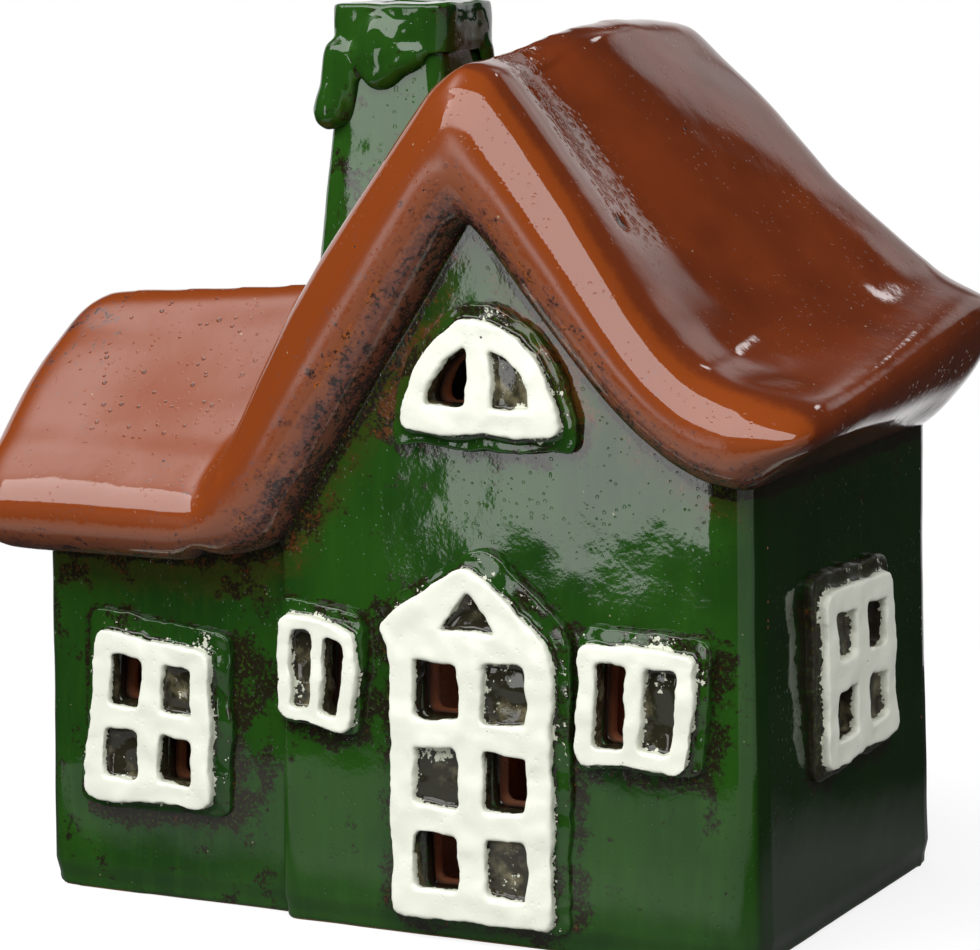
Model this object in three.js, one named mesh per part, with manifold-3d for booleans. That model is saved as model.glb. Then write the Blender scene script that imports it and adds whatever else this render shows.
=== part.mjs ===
// Tealight house of glazed red earthenware: a gabled main house with a lower annex on its left,
// built from clay slabs luted together, with pressed window and door plaques and a tealight inside.
// Millimetres. +X is the house's right seen from the front, -Y its front, +Z up. The origin is
// on the table, under the middle of the main house.
import * as THREE from "three";
import { mergeGeometries, mergeVertices } from "three/addons/utils/BufferGeometryUtils.js";
import Module from "manifold-3d";

const wasm = await Module();
wasm.setup();

// Driving dimensions: plan and walls
const MAIN_WIDTH = 80;
const MAIN_DEPTH = 75;
const ANNEX_LENGTH = 46;
const ANNEX_DEPTH = 38;
const ANNEX_SETBACK = 3;
const WALL = 6;
const FLOOR = 5;
const CORNER_RADIUS = 5.5;
const SEAM_RADIUS = 2.5;
const SLIP = 0.3; // line of slip between two luted slabs

// Driving dimensions: main roof
const RIDGE_OFFSET = -5.5;
const GABLE_HEIGHT = 112;
const LEFT_PLATE = 59.5;
const RIGHT_PLATE = 73;
const EAVE_UPTURN = 6.5;
const REAR_UPTURN = 17;
const LEFT_EAVE_DIP = 3;
const VERGE_OVERHANG = 8.5;
const REAR_OVERHANG = 4.5;
const RIGHT_OVERHANG = 13;
const LEFT_OVERHANG = 14;
const MAIN_ROOF_DEPTH = 26.5; // upright depth of the slab halfway down a slope
const VERGE_ROUNDING = 8.5;
const EAVE_ROUNDING = 5.5;
const RIDGE_SOFTENING = 13;
const RIGHT_BELL = 1.15; // power of the bell-cast right slope
const REAR_SWELL = 15; // how much higher the right slope stands at the rear
const RIDGE_SWELL = 3.2;
const RIDGE_SWELL_PLACE = 8; // behind the middle
const RIDGE_SWELL_LENGTH = 92;
const RIDGE_SWELL_WIDTH = 70;

// Driving dimensions: annex roof
const ANNEX_GABLE_HEIGHT = 84.2;
const ANNEX_PLATE = 56;
const ANNEX_EAVE_LIFT = 1.5;
const ANNEX_FRONT_OVERHANG = 11.5;
const ANNEX_REAR_OVERHANG = 10;
const ANNEX_END_OVERHANG = 8.2;
const ANNEX_END_RAKE = 5.8; // how far the end is drawn in at the ridge
const ANNEX_ROOF_DEPTH = 17.5;
const ANNEX_EAVE_ROUNDING = 6.5;
const ANNEX_END_ROUNDING = 6.5;
const ANNEX_RIDGE_SOFTENING = 11;
const ANNEX_RIDGE_FALL = 3.2;

// Driving dimensions: openings
const ARCH_CLEARANCE = 2; // on each side of the tealight that passes through
const ARCH_HEIGHT = 41;
const PASSAGE_JAMB = 3;
const PASSAGE_HEIGHT = 34;
const FLUE = 7.5;

// Driving dimensions: chimney
const CHIMNEY_INSET = 10.5; // from the main house's left side
const CHIMNEY_SETBACK = 28.3; // from its front
const CHIMNEY_TOP = 142.8;
const STACK_WIDTH = 17.2;
const STACK_LENGTH = 18;
const STACK_SPREAD = 16; // how much wider the stack is at its foot
const STACK_ROUNDING = 2.4;
const COLLAR_WALL = 1.4;
const COLLAR_BAND = 7.5;
const COLLAR_LID = 3.4;
const DRIP_HEAD = 4.6;

// Driving dimensions: plaques, each with its own size and place in the section that presses it
const PLAQUE = 1.4;
const RIB = 1.8;
const FRAME_ROUNDING = 2.2;
const PANE_ROUNDING = 1.1;
const BACKING = 2.4; // bare backing round a frame, which each plaque shows a share of

// Driving dimensions: tealight
const CUP_RADIUS = 19;
const CUP_HEIGHT = 15;
const CUP_WALL = 0.5;
const WAX_HEIGHT = 12.6;
const WICK_RADIUS = 0.8;
const WICK_HEIGHT = 19;
const TAB_RADIUS = 6;
const TAB_HEIGHT = 0.5;
const TEALIGHT_FIT = 0.3;
const TEALIGHT_OFFSET = 10; // right of the middle, so that no front pane looks out through the arch

// Planes of the plan
const left = -MAIN_WIDTH / 2;
const right = MAIN_WIDTH / 2;
const front = -MAIN_DEPTH / 2;
const rear = MAIN_DEPTH / 2;
const annexLeft = left - ANNEX_LENGTH;
const annexFront = front + ANNEX_SETBACK;
const annexRear = annexFront + ANNEX_DEPTH;
const annexRidge = (annexFront + annexRear) / 2;
const chimneyX = left + CHIMNEY_INSET;
const chimneyY = front + CHIMNEY_SETBACK;

// Solids
function solid(geometry) {
  const bare = geometry.clone();
  bare.deleteAttribute("normal");
  bare.deleteAttribute("uv");
  const welded = mergeVertices(bare, 1e-4);
  const triangles = [];
  for (let i = 0; i < welded.index.count; i += 3) {
    const [a, b, c] = welded.index.array.subarray(i, i + 3);
    if (a !== b && b !== c && c !== a) triangles.push(a, b, c); // none on an axis of turning
  }
  const mesh = new wasm.Mesh({
    numProp: 3,
    vertProperties: new Float32Array(welded.attributes.position.array),
    triVerts: new Uint32Array(triangles),
  });
  return new wasm.Manifold(mesh);
}

function surface(body) {
  const mesh = body.getMesh();
  const geometry = new THREE.BufferGeometry();
  geometry.setAttribute("position", new THREE.BufferAttribute(mesh.vertProperties, 3));
  geometry.setIndex(new THREE.BufferAttribute(mesh.triVerts, 1));
  geometry.computeVertexNormals();
  return geometry;
}

function cut(body, ...tools) {
  return tools.reduce((rest, tool) => rest.subtract(tool), body);
}

function extruded(shape, depth, from = 0) {
  const geometry = new THREE.ExtrudeGeometry(shape, { depth, bevelEnabled: false, curveSegments: 3 });
  return geometry.translate(0, 0, from);
}

// Closed outline through corner points, rounded by one radius at every corner or by a list with
// none beside another. A radius is limited by the sides that it leaves straight.
function rounded(points, radii, outline = new THREE.Shape()) {
  const count = points.length;
  const listed = Array.isArray(radii);
  for (let i = 0; i < count; i++) {
    const corner = points[i];
    const before = points[(i + count - 1) % count].clone().sub(corner);
    const after = points[(i + 1) % count].clone().sub(corner);
    const shortest = Math.min(before.length(), after.length());
    const radius = listed ? Math.min(radii[i], 0.95 * shortest) : Math.min(radii, 0.45 * shortest);
    const start = corner.clone().addScaledVector(before.normalize(), radius);
    const end = corner.clone().addScaledVector(after.normalize(), radius);
    if (i === 0) outline.moveTo(start.x, start.y);
    else outline.lineTo(start.x, start.y);
    if (radius > 0) outline.quadraticCurveTo(corner.x, corner.y, end.x, end.y);
  }
  outline.closePath();
  return outline;
}

const point = (x, y) => new THREE.Vector2(x, y);

function rectangle(x0, x1, y0, y1) {
  return [point(x0, y0), point(x1, y0), point(x1, y1), point(x0, y1)];
}

function block(x0, x1, y0, y1, z0, z1, radii = 0) {
  return solid(extruded(rounded(rectangle(x0, x1, y0, y1), radii), z1 - z0, z0));
}

// Roof slabs: an upper and a lower surface over a rectangular plan, whose edge is drawn in to a
// round rim. Stations are closer together where the rim curves.
function stations(from, to, rimFrom, rimTo, crest, step) {
  const rimSteps = 4;
  const curve = (i) => 1 - Math.cos((i * Math.PI) / 2 / rimSteps);
  const list = [];
  for (let i = 0; i < rimSteps; i++) list.push(from + rimFrom * curve(i));
  for (const [start, end] of [[from + rimFrom, crest], [crest, to - rimTo]]) {
    const count = Math.ceil((end - start) / step);
    for (let i = 0; i < count; i++) list.push(start + ((end - start) * i) / count);
  }
  for (let i = rimSteps; i >= 0; i--) list.push(to - rimTo * curve(i));
  return list;
}

function edgeShare(value, from, to, rimFrom, rimTo) {
  if (value < from + rimFrom) return (value - from) / rimFrom - 1;
  if (value > to - rimTo) return 1 - (to - value) / rimTo;
  return 0;
}

function drawnIn(plan, x, y) {
  const a = edgeShare(x, plan.x0, plan.x1, plan.rimX0, plan.rimX1);
  const b = edgeShare(y, plan.y0, plan.y1, plan.rimY, plan.rimY);
  const u = a * Math.sqrt(1 - (b * b) / 2);
  const v = b * Math.sqrt(1 - (a * a) / 2);
  const fullness = Math.sqrt(Math.max(0, 1 - u * u - v * v));
  const rimX = a < 0 ? plan.rimX0 : plan.rimX1;
  return { x: x + (u - a) * rimX, y: y + (v - b) * plan.rimY, fullness: fullness < 1e-4 ? 0 : fullness };
}

function sheet(plan, height, facingUp) {
  const xs = stations(plan.x0, plan.x1, plan.rimX0, plan.rimX1, plan.crestX, plan.stepX);
  const ys = stations(plan.y0, plan.y1, plan.rimY, plan.rimY, plan.crestY, plan.stepY);
  const grid = new THREE.PlaneGeometry(1, 1, xs.length - 1, ys.length - 1);
  const position = grid.attributes.position;
  for (let i = 0; i < position.count; i++) {
    const x = xs[i % xs.length];
    const y = ys[ys.length - 1 - Math.floor(i / xs.length)];
    const at = drawnIn(plan, x, y);
    position.setXYZ(i, at.x + (plan.rake ? plan.rake(at) : 0), at.y, height(at));
  }
  if (!facingUp) grid.index.array.reverse();
  return grid;
}

function slab(plan, upper, lower) {
  return solid(mergeGeometries([sheet(plan, upper, true), sheet(plan, lower, false)]));
}

function grown(plan) {
  return {
    ...plan,
    x0: plan.x0 - SLIP,
    x1: plan.x1 + SLIP,
    y0: plan.y0 - SLIP,
    y1: plan.y1 + SLIP,
  };
}

// A roof with everything below its upper face, and everything above its lower face, each with
// the slip line added: the tools that trim the pieces standing on it and under it.
function roofWithTools(plan, top, under) {
  const middle = (at) => (top(at.x, at.y) + under(at.x, at.y)) / 2;
  const half = (at) => (top(at.x, at.y) - under(at.x, at.y)) / 2;
  const upper = (at) => middle(at) + half(at) * at.fullness;
  const lower = (at) => middle(at) - half(at) * at.fullness;
  const steep = 2 * SLIP; // upright clearance that leaves the slip line square to a steep slope
  const body = slab(plan, upper, lower);
  const below = slab(
    grown(plan),
    (at) => upper(at) + (at.fullness ? steep : 0),
    (at) => (at.fullness ? -CHIMNEY_TOP : upper(at)),
  );
  const above = slab(
    grown(plan),
    (at) => (at.fullness ? 2 * CHIMNEY_TOP : lower(at)),
    (at) => lower(at) - (at.fullness ? steep : 0),
  );
  return { body, below, above };
}

function softLower(a, b, softening) {
  const share = Math.max(softening - Math.abs(a - b), 0) / softening;
  return Math.min(a, b) - (share * share * softening) / 4;
}

function along(shares, depths) {
  const curve = new THREE.CubicInterpolant(shares, depths, 1);
  const last = shares.length - 1;
  return (share) => curve.evaluate(THREE.MathUtils.clamp(share, shares[0], shares[last]))[0];
}

// Main roof: bell-cast on the right, steep on the left, its ridge left of the middle.
const rightRun = right - RIDGE_OFFSET;
const leftRun = RIDGE_OFFSET - left;
const rightFullness = along([0, 0.3, 0.49, 0.62, 0.8, 1.06, 1.29], [1, 1, 0.92, 0.79, 0.65, 0.54, 0.28]);
const leftFullness = along([0, 0.54, 0.81, 1.02, 1.13, 1.27, 1.41], [1, 1.13, 1.17, 1.07, 0.8, 0.54, 0.38]);
const swellFullness = along([0, 0.2, 0.37, 0.54, 0.7, 0.83, 0.96, 1.12, 1.29], [0.1, 0.24, 0.49, 0.73, 0.94, 1, 0.85, 0.54, 0]);

function rightUnder(x, y) {
  const share = (x - RIDGE_OFFSET) / rightRun;
  const upturn = THREE.MathUtils.mapLinear(y, front, rear, EAVE_UPTURN, REAR_UPTURN);
  if (share > 1) return RIGHT_PLATE + upturn * ((x - right) / RIGHT_OVERHANG) ** 2;
  const fall = share < 0 ? share : Math.sin((share * Math.PI) / 2) ** RIGHT_BELL;
  return GABLE_HEIGHT - (GABLE_HEIGHT - RIGHT_PLATE) * fall;
}

function leftUnder(x) {
  const share = (RIDGE_OFFSET - x) / leftRun;
  if (share > 1) return LEFT_PLATE - LEFT_EAVE_DIP * Math.min(1, (left - x) / LEFT_OVERHANG);
  return GABLE_HEIGHT - (GABLE_HEIGHT - LEFT_PLATE) * share;
}

const mainUnder = (x, y) => Math.min(leftUnder(x), rightUnder(x, y));

function mainTop(x, y) {
  const rightTop = rightUnder(x, y) + MAIN_ROOF_DEPTH * rightFullness((x - RIDGE_OFFSET) / rightRun);
  const leftTop = leftUnder(x) + MAIN_ROOF_DEPTH * leftFullness((RIDGE_OFFSET - x) / leftRun);
  const backward = THREE.MathUtils.smoothstep(y, front, rear);
  const rearSwell = REAR_SWELL * backward * swellFullness((x - RIDGE_OFFSET) / rightRun);
  const lengthwise = THREE.MathUtils.clamp((y - RIDGE_SWELL_PLACE) / RIDGE_SWELL_LENGTH, -0.5, 0.5);
  const crosswise = THREE.MathUtils.clamp((x - RIDGE_OFFSET) / RIDGE_SWELL_WIDTH, -0.5, 0.5);
  const ridgeSwell = RIDGE_SWELL * (Math.cos(lengthwise * Math.PI) * Math.cos(crosswise * Math.PI)) ** 2;
  return softLower(leftTop, rightTop, RIDGE_SOFTENING) + rearSwell + ridgeSwell;
}

const mainPlan = {
  x0: left - LEFT_OVERHANG,
  x1: right + RIGHT_OVERHANG,
  y0: front - VERGE_OVERHANG,
  y1: rear + REAR_OVERHANG,
  rimX0: EAVE_ROUNDING,
  rimX1: EAVE_ROUNDING,
  rimY: VERGE_ROUNDING,
  crestX: RIDGE_OFFSET,
  crestY: 0,
  stepX: 5,
  stepY: 12,
};
const main = roofWithTools(mainPlan, mainTop, mainUnder);

// Annex roof: ridge running into the main roof's left slope, with a rounded far end.
const annexRun = annexRidge - annexFront;
const annexRunIn = RIDGE_OFFSET - leftRun / 3; // inside the main roof, which trims it
const annexFullness = along([0, 0.3, 0.65, 1, 1.26, 1.42, 1.61], [1, 1, 1.11, 1.16, 0.92, 0.76, 0.66]);

function annexSlope(share) {
  const eave = ANNEX_FRONT_OVERHANG / annexRun;
  if (share > 1) return ANNEX_PLATE + ANNEX_EAVE_LIFT * Math.min(1, (share - 1) / eave);
  return ANNEX_GABLE_HEIGHT - (ANNEX_GABLE_HEIGHT - ANNEX_PLATE) * share;
}

const annexUnder = (x, y) => annexSlope(Math.abs(y - annexRidge) / annexRun);

const annexHeight = (at) => (annexUnder(at.x, at.y) - ANNEX_PLATE) / (ANNEX_GABLE_HEIGHT - ANNEX_PLATE);

function annexTop(x, y) {
  const share = (y - annexRidge) / annexRun;
  const rearTop = annexSlope(share) + ANNEX_ROOF_DEPTH * annexFullness(Math.max(0, share));
  const frontTop = annexSlope(-share) + ANNEX_ROOF_DEPTH * annexFullness(Math.max(0, -share));
  const fall = (ANNEX_RIDGE_FALL * annexHeight({ x, y }) * (left - x)) / ANNEX_LENGTH;
  return softLower(rearTop, frontTop, ANNEX_RIDGE_SOFTENING) - fall;
}

const annexPlan = {
  x0: annexLeft - ANNEX_END_OVERHANG,
  x1: annexRunIn,
  y0: annexFront - ANNEX_FRONT_OVERHANG,
  y1: annexRear + ANNEX_REAR_OVERHANG,
  rimX0: ANNEX_END_ROUNDING,
  rimX1: EAVE_ROUNDING,
  rimY: ANNEX_EAVE_ROUNDING,
  crestX: left,
  crestY: annexRidge,
  stepX: 10,
  stepY: 3.5,
  rake: (at) => (ANNEX_END_RAKE * annexHeight(at) ** 2 * Math.max(0, left - at.x)) / ANNEX_LENGTH,
};
const annex = roofWithTools(annexPlan, annexTop, annexUnder);
const annexTrim = cut(annex.above, main.below); // none where the main roof covers the annex walls

// Plaques, drawn on the wall's face: across to the right, up, outward.
function between(quad, u, v) {
  const low = quad[0].clone().lerp(quad[1], u);
  const high = quad[3].clone().lerp(quad[2], u);
  return low.lerp(high, v);
}

function spans(length, border, bar, count) {
  const clear = (length - 2 * border - bar * (count - 1)) / count;
  return Array.from({ length: count }, (_, i) => {
    const from = border + i * (clear + bar);
    return [from / length, (from + clear) / length];
  });
}

// Panes of a casement, row by row from the bottom, as rounded outlines.
function casementPanes(quad, columns, rows, stile, bar) {
  const across = spans(quad[0].distanceTo(quad[1]), stile, bar, columns);
  const up = spans(quad[0].distanceTo(quad[3]), stile, bar, rows);
  const corners = (u, v) => [
    between(quad, u[0], v[0]),
    between(quad, u[1], v[0]),
    between(quad, u[1], v[1]),
    between(quad, u[0], v[1]),
  ];
  return up.flatMap((v) => across.map((u) => corners(u, v)));
}

// Outline moved out on each side by the share of bare backing that shows there.
function spread(points, margin) {
  const middle = points.reduce((sum, p) => sum.add(p), point(0, 0)).divideScalar(points.length);
  return points.map((p) =>
    point(
      p.x + BACKING * (p.x < middle.x ? -margin.left : margin.right),
      p.y + BACKING * (p.y < middle.y ? -margin.below : margin.above),
    ),
  );
}

// Raised ribs round every pane on a thin backing; only the pierced panes go through the backing.
function plaque(frameOutline, backingOutline, panes, pierced) {
  const holes = panes.map((corners) => rounded(corners, PANE_ROUNDING, new THREE.Path()));
  const backing = rounded(backingOutline, FRAME_ROUNDING);
  const ribs = rounded(frameOutline, FRAME_ROUNDING);
  backing.holes.push(...holes.filter((_, i) => pierced.includes(i)));
  ribs.holes.push(...holes);
  const body = solid(extruded(backing, PLAQUE)).add(solid(extruded(ribs, PLAQUE + RIB)));
  const tools = pierced.map((i) => extruded(rounded(panes[i], PANE_ROUNDING), 2 * WALL, -1.5 * WALL));
  return { body, tools };
}

// Door: glazed leaf with three rows of panes under a small gable with a blind light.
const DOOR_OFFSET = 0.3; // right of the ridge
const DOOR_FOOT = 4;
const DOOR_WIDTH = 27.2;
const DOOR_HEIGHT = 44.4;
const DOOR_GABLE = 11;
const DOOR_STILE = 3.8;
const DOOR_BAR = 4;
const DOOR_TIP = 2.4; // how far the gable's left end stands out past the leaf
const LIGHT_WIDTH = 10.8;
const LIGHT_HEIGHT = 6.8;
const DOOR_MARGIN = { left: 0.35, right: 1, below: 0.25, above: 1.15 };
const doorX = RIDGE_OFFSET + DOOR_OFFSET;
const doorLeft = doorX - DOOR_WIDTH / 2;
const doorRight = doorX + DOOR_WIDTH / 2;

function doorPlaque() {
  const head = DOOR_FOOT + DOOR_HEIGHT;
  const lightFoot = head + DOOR_TIP / 4;
  const outline = [
    point(doorLeft, DOOR_FOOT),
    point(doorRight, DOOR_FOOT),
    point(doorRight, head - DOOR_TIP / 3),
    point(doorX, head + DOOR_GABLE),
    point(doorLeft - DOOR_TIP, head + DOOR_TIP / 3),
    point(doorLeft, head - DOOR_TIP),
  ];
  const light = [
    point(doorX - LIGHT_WIDTH / 2, lightFoot),
    point(doorX + LIGHT_WIDTH / 2, lightFoot),
    point(doorX, lightFoot + LIGHT_HEIGHT),
  ];
  const leaf = rectangle(doorLeft, doorRight, DOOR_FOOT, head);
  const panes = [...casementPanes(leaf, 2, 3, DOOR_STILE, DOOR_BAR), light];
  return plaque(outline, spread(outline, DOOR_MARGIN), panes, [0, 3, 4]);
}
const door = doorPlaque();

// A casement pressed by hand, so its corners lean out of square: at its sill and head by a share
// of its width, and at its sides by a share of its height.
function casement({ from, to, sill, height, lean, columns, rows, stile, bar, margin, pierced }) {
  const width = to - from;
  const quad = [
    point(from, sill),
    point(to, sill + lean.sill * width),
    point(to + lean.right * height, sill + height + lean.head * width),
    point(from + lean.left * height, sill + height),
  ];
  return plaque(quad, spread(quad, margin), casementPanes(quad, columns, rows, stile, bar), pierced);
}

const FRONT_LEFT_JAMB = 1.2;
const FRONT_LEFT_GAP = 7.2; // to the door
const FRONT_LEFT_SILL = 33.2;
const FRONT_LEFT_HEIGHT = 16.8;
const FRONT_LEFT_STILE = 2;
const FRONT_LEFT_BAR = 1.8;
const frontLeft = casement({
  from: left + FRONT_LEFT_JAMB,
  to: doorLeft - FRONT_LEFT_GAP,
  sill: FRONT_LEFT_SILL,
  height: FRONT_LEFT_HEIGHT,
  lean: { sill: -0.11, head: -0.17, left: 0.05, right: 0.08 },
  columns: 2,
  rows: 1,
  stile: FRONT_LEFT_STILE,
  bar: FRONT_LEFT_BAR,
  margin: { left: 0.2, right: 0.25, below: 0.4, above: 1 },
  pierced: [1],
});

const FRONT_RIGHT_GAP = 4.2; // to the door
const FRONT_RIGHT_JAMB = 9;
const FRONT_RIGHT_SILL = 30.3;
const FRONT_RIGHT_HEIGHT = 18.5;
const FRONT_RIGHT_STILE = 2.6;
const FRONT_RIGHT_BAR = 2.2;
const frontRight = casement({
  from: doorRight + FRONT_RIGHT_GAP,
  to: right - FRONT_RIGHT_JAMB,
  sill: FRONT_RIGHT_SILL,
  height: FRONT_RIGHT_HEIGHT,
  lean: { sill: 0.02, head: -0.02, left: 0.04, right: 0.08 },
  columns: 2,
  rows: 1,
  stile: FRONT_RIGHT_STILE,
  bar: FRONT_RIGHT_BAR,
  margin: { left: 0.15, right: 0.8, below: 0.4, above: 1 },
  pierced: [0],
});

const ANNEX_WINDOW_JAMB = 9;
const ANNEX_WINDOW_GAP = 13.7; // to the main house
const ANNEX_WINDOW_SILL = 16.2;
const ANNEX_WINDOW_HEIGHT = 27.9;
const ANNEX_WINDOW_STILE = 3.4;
const ANNEX_WINDOW_BAR = 3.8;
const annexCasement = casement({
  from: annexLeft + ANNEX_WINDOW_JAMB,
  to: left - ANNEX_WINDOW_GAP,
  sill: ANNEX_WINDOW_SILL,
  height: ANNEX_WINDOW_HEIGHT,
  lean: { sill: 0, head: -0.116, left: 0.108, right: 0.032 },
  columns: 2,
  rows: 2,
  stile: ANNEX_WINDOW_STILE,
  bar: ANNEX_WINDOW_BAR,
  margin: { left: 0.6, right: 1.25, below: 0.6, above: 1.25 },
  pierced: [1, 2],
});

const SIDE_WINDOW_SETBACK = 22.5; // from the front
const SIDE_WINDOW_WIDTH = 29;
const SIDE_WINDOW_SILL = 26.5;
const SIDE_WINDOW_HEIGHT = 28;
const SIDE_WINDOW_STILE = 3.8;
const SIDE_WINDOW_BAR = 4.4;
const sideCasement = casement({
  from: front + SIDE_WINDOW_SETBACK,
  to: front + SIDE_WINDOW_SETBACK + SIDE_WINDOW_WIDTH,
  sill: SIDE_WINDOW_SILL,
  height: SIDE_WINDOW_HEIGHT,
  lean: { sill: 0.015, head: -0.052, left: -0.036, right: -0.093 },
  columns: 2,
  rows: 2,
  stile: SIDE_WINDOW_STILE,
  bar: SIDE_WINDOW_BAR,
  margin: { left: 0.6, right: 0.8, below: 0.65, above: 1 },
  pierced: [0, 3],
});

// Gable window: half-moon with one upright bar, its left half pierced.
const MOON_OFFSET = 2.5; // right of the ridge
const MOON_DROP = 32.6; // from the gable's peak down to the sill
const MOON_WIDTH = 26.4;
const MOON_HEIGHT = 17.4;
const MOON_BORDER = 4;
const MOON_BAR = 3.6;
const MOON_SPRING = 0.06; // share of the half turn below which the sides drop straight
const moonX = RIDGE_OFFSET + MOON_OFFSET;
const moonSill = GABLE_HEIGHT - MOON_DROP;

// Arc of the half-moon, drawn in from the frame's edge by a border, between two shares of the half turn.
function moonArc(border, from, to) {
  const steps = 9;
  const foot = moonSill + Math.max(0, border);
  const rise = moonSill + MOON_HEIGHT - border - foot;
  return Array.from({ length: steps + 1 }, (_, i) => {
    const turn = THREE.MathUtils.lerp(from, to, i / steps) * Math.PI;
    const across = (MOON_WIDTH / 2 - border) * Math.cos(turn);
    return point(moonX + across, foot + rise * Math.sin(turn));
  });
}

function moonOutline(margin) {
  const arc = moonArc(-margin, MOON_SPRING, 1 - MOON_SPRING);
  const foot = moonSill - margin;
  return [point(arc[arc.length - 1].x, foot), point(arc[0].x, foot), ...arc];
}

function moonPane(side) {
  const barShare = Math.acos(MOON_BAR / (MOON_WIDTH - 2 * MOON_BORDER)) / Math.PI;
  const arc = moonArc(MOON_BORDER, MOON_SPRING, barShare);
  const foot = moonSill + MOON_BORDER;
  const pane = [point(moonX + MOON_BAR / 2, foot), point(arc[0].x, foot), ...arc];
  const placed = pane.map((p) => point(moonX + side * (p.x - moonX), p.y));
  return side < 0 ? placed.reverse() : placed;
}
const moonPanes = [moonPane(-1), moonPane(1)];
const moon = plaque(moonOutline(0), moonOutline(BACKING), moonPanes, [0]);

// Faces of the house: each turns a drawing's across, up and outward onto its wall.
function face(turn, x, y) {
  const frame = new THREE.Group();
  frame.rotation.set(Math.PI / 2, 0, turn, "ZYX");
  frame.position.set(x, y, 0);
  frame.updateMatrix();
  return frame;
}
const frontFace = face(0, 0, front);
const annexFace = face(0, 0, annexFront);
const sideFace = face(Math.PI / 2, right, 0);
const pierce = (frame, plaques) =>
  plaques.flatMap((made) => made.tools.map((tool) => solid(tool.clone().applyMatrix4(frame.matrix))));

// Walls, each from the table to the roof's lower face.
const sky = 2 * GABLE_HEIGHT;
const innerFront = front + WALL + SLIP;
const innerRear = rear - WALL - SLIP;

function arch(width, height) {
  const outline = new THREE.Shape();
  outline.moveTo(-width / 2, 0);
  outline.lineTo(width / 2, 0);
  outline.lineTo(width / 2, height - width / 2);
  outline.absarc(0, height - width / 2, width / 2, 0, Math.PI, false);
  outline.closePath();
  return new THREE.ExtrudeGeometry(outline, { depth: 3 * WALL, bevelEnabled: false, curveSegments: 14 });
}

const archWidth = 2 * (CUP_RADIUS + ARCH_CLEARANCE);
const passageWidth = ANNEX_DEPTH - 2 * (WALL + PASSAGE_JAMB);
const rearArch = arch(archWidth, ARCH_HEIGHT).rotateX(Math.PI / 2).translate(TEALIGHT_OFFSET, rear + WALL, FLOOR);
const passage = arch(passageWidth, PASSAGE_HEIGHT)
  .rotateX(Math.PI / 2)
  .rotateZ(Math.PI / 2)
  .translate(left - WALL, annexRidge, FLOOR);

const frontWall = cut(
  block(left, right, front, front + WALL, 0, sky, [SEAM_RADIUS, CORNER_RADIUS, 0, 0]),
  main.above,
  ...pierce(frontFace, [frontLeft, frontRight, door, moon]),
);
const rearWall = cut(
  block(left, right, rear - WALL, rear, 0, sky, [0, 0, CORNER_RADIUS, CORNER_RADIUS]),
  main.above,
  solid(rearArch),
);
const rightWall = cut(
  block(right - WALL, right, innerFront, innerRear, 0, sky),
  main.above,
  ...pierce(sideFace, [sideCasement]),
);
const leftWall = cut(block(left, left + WALL, innerFront, innerRear, 0, sky), main.above, solid(passage));
const annexFrontWall = cut(
  block(annexLeft, left - SLIP, annexFront, annexFront + WALL, 0, sky, [CORNER_RADIUS, 0, 0, 0]),
  annexTrim,
  main.above,
  ...pierce(annexFace, [annexCasement]),
);
const annexRearWall = cut(
  block(annexLeft, left - SLIP, annexRear - WALL, annexRear, 0, sky, [0, 0, 0, CORNER_RADIUS]),
  annexTrim,
  main.above,
);
const annexEndWall = cut(
  block(annexLeft, annexLeft + WALL, annexFront + WALL + SLIP, annexRear - WALL - SLIP, 0, sky),
  annex.above,
);

// Floors between the walls
const mainFloor = block(left + WALL + SLIP, right - WALL - SLIP, innerFront, innerRear, 0, FLOOR);
const annexFloor = block(
  annexLeft + WALL + SLIP,
  left - SLIP,
  annexFront + WALL + SLIP,
  annexRear - WALL - SLIP,
  0,
  FLOOR,
);

// Chimney: square stack on the main roof's left slope, with a flue into the room, under a collar
// of clay pressed on so that it hangs down in drips.
function stack(growth, top) {
  const halfWidth = STACK_WIDTH / 2 + growth;
  const halfLength = STACK_LENGTH / 2 + growth;
  const foot = LEFT_PLATE;
  const outline = rounded(rectangle(-halfWidth, halfWidth, -halfLength, halfLength), STACK_ROUNDING + growth);
  const geometry = extruded(outline, top - foot, foot);
  const position = geometry.attributes.position;
  for (let i = 0; i < position.count; i++) {
    const wider = (STACK_SPREAD * (top - position.getZ(i))) / (top - foot);
    position.setX(i, position.getX(i) * (1 + wider / STACK_WIDTH) + chimneyX);
    position.setY(i, position.getY(i) * (1 + wider / STACK_LENGTH) + chimneyY);
  }
  return geometry;
}

const stackTop = CHIMNEY_TOP - COLLAR_LID;
const flue = block(
  chimneyX - FLUE / 2,
  chimneyX + FLUE / 2,
  chimneyY - FLUE / 2,
  chimneyY + FLUE / 2,
  FLOOR,
  sky,
);
const chimneyStack = cut(solid(stack(0, stackTop)), main.below, annex.below, flue);
const mainRoof = cut(main.body, flue);
const annexRoof = cut(annex.body, main.below);

// Ball of soft clay at a place across and deep on the stack, which widens downward.
function ball(across, deep, z, width) {
  const wider = (STACK_SPREAD * (stackTop - z)) / (stackTop - LEFT_PLATE) / 2;
  const x = chimneyX + across * (STACK_WIDTH / 2 + wider);
  const y = chimneyY + deep * (STACK_LENGTH / 2 + wider);
  return solid(new THREE.SphereGeometry(width / 2, 10, 8).translate(x, y, z));
}

// Drip hanging from the collar: run down from its heads to a belly, as long as so many bands.
function drip(heads, [across, deep], bands, belly) {
  const tip = CHIMNEY_TOP - bands * COLLAR_BAND;
  const head = heads.map(([a, d]) => ball(a, d, CHIMNEY_TOP - COLLAR_BAND, DRIP_HEAD));
  return wasm.Manifold.hull([...head, ball(across, deep, tip + belly / 2, belly)]);
}

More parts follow.
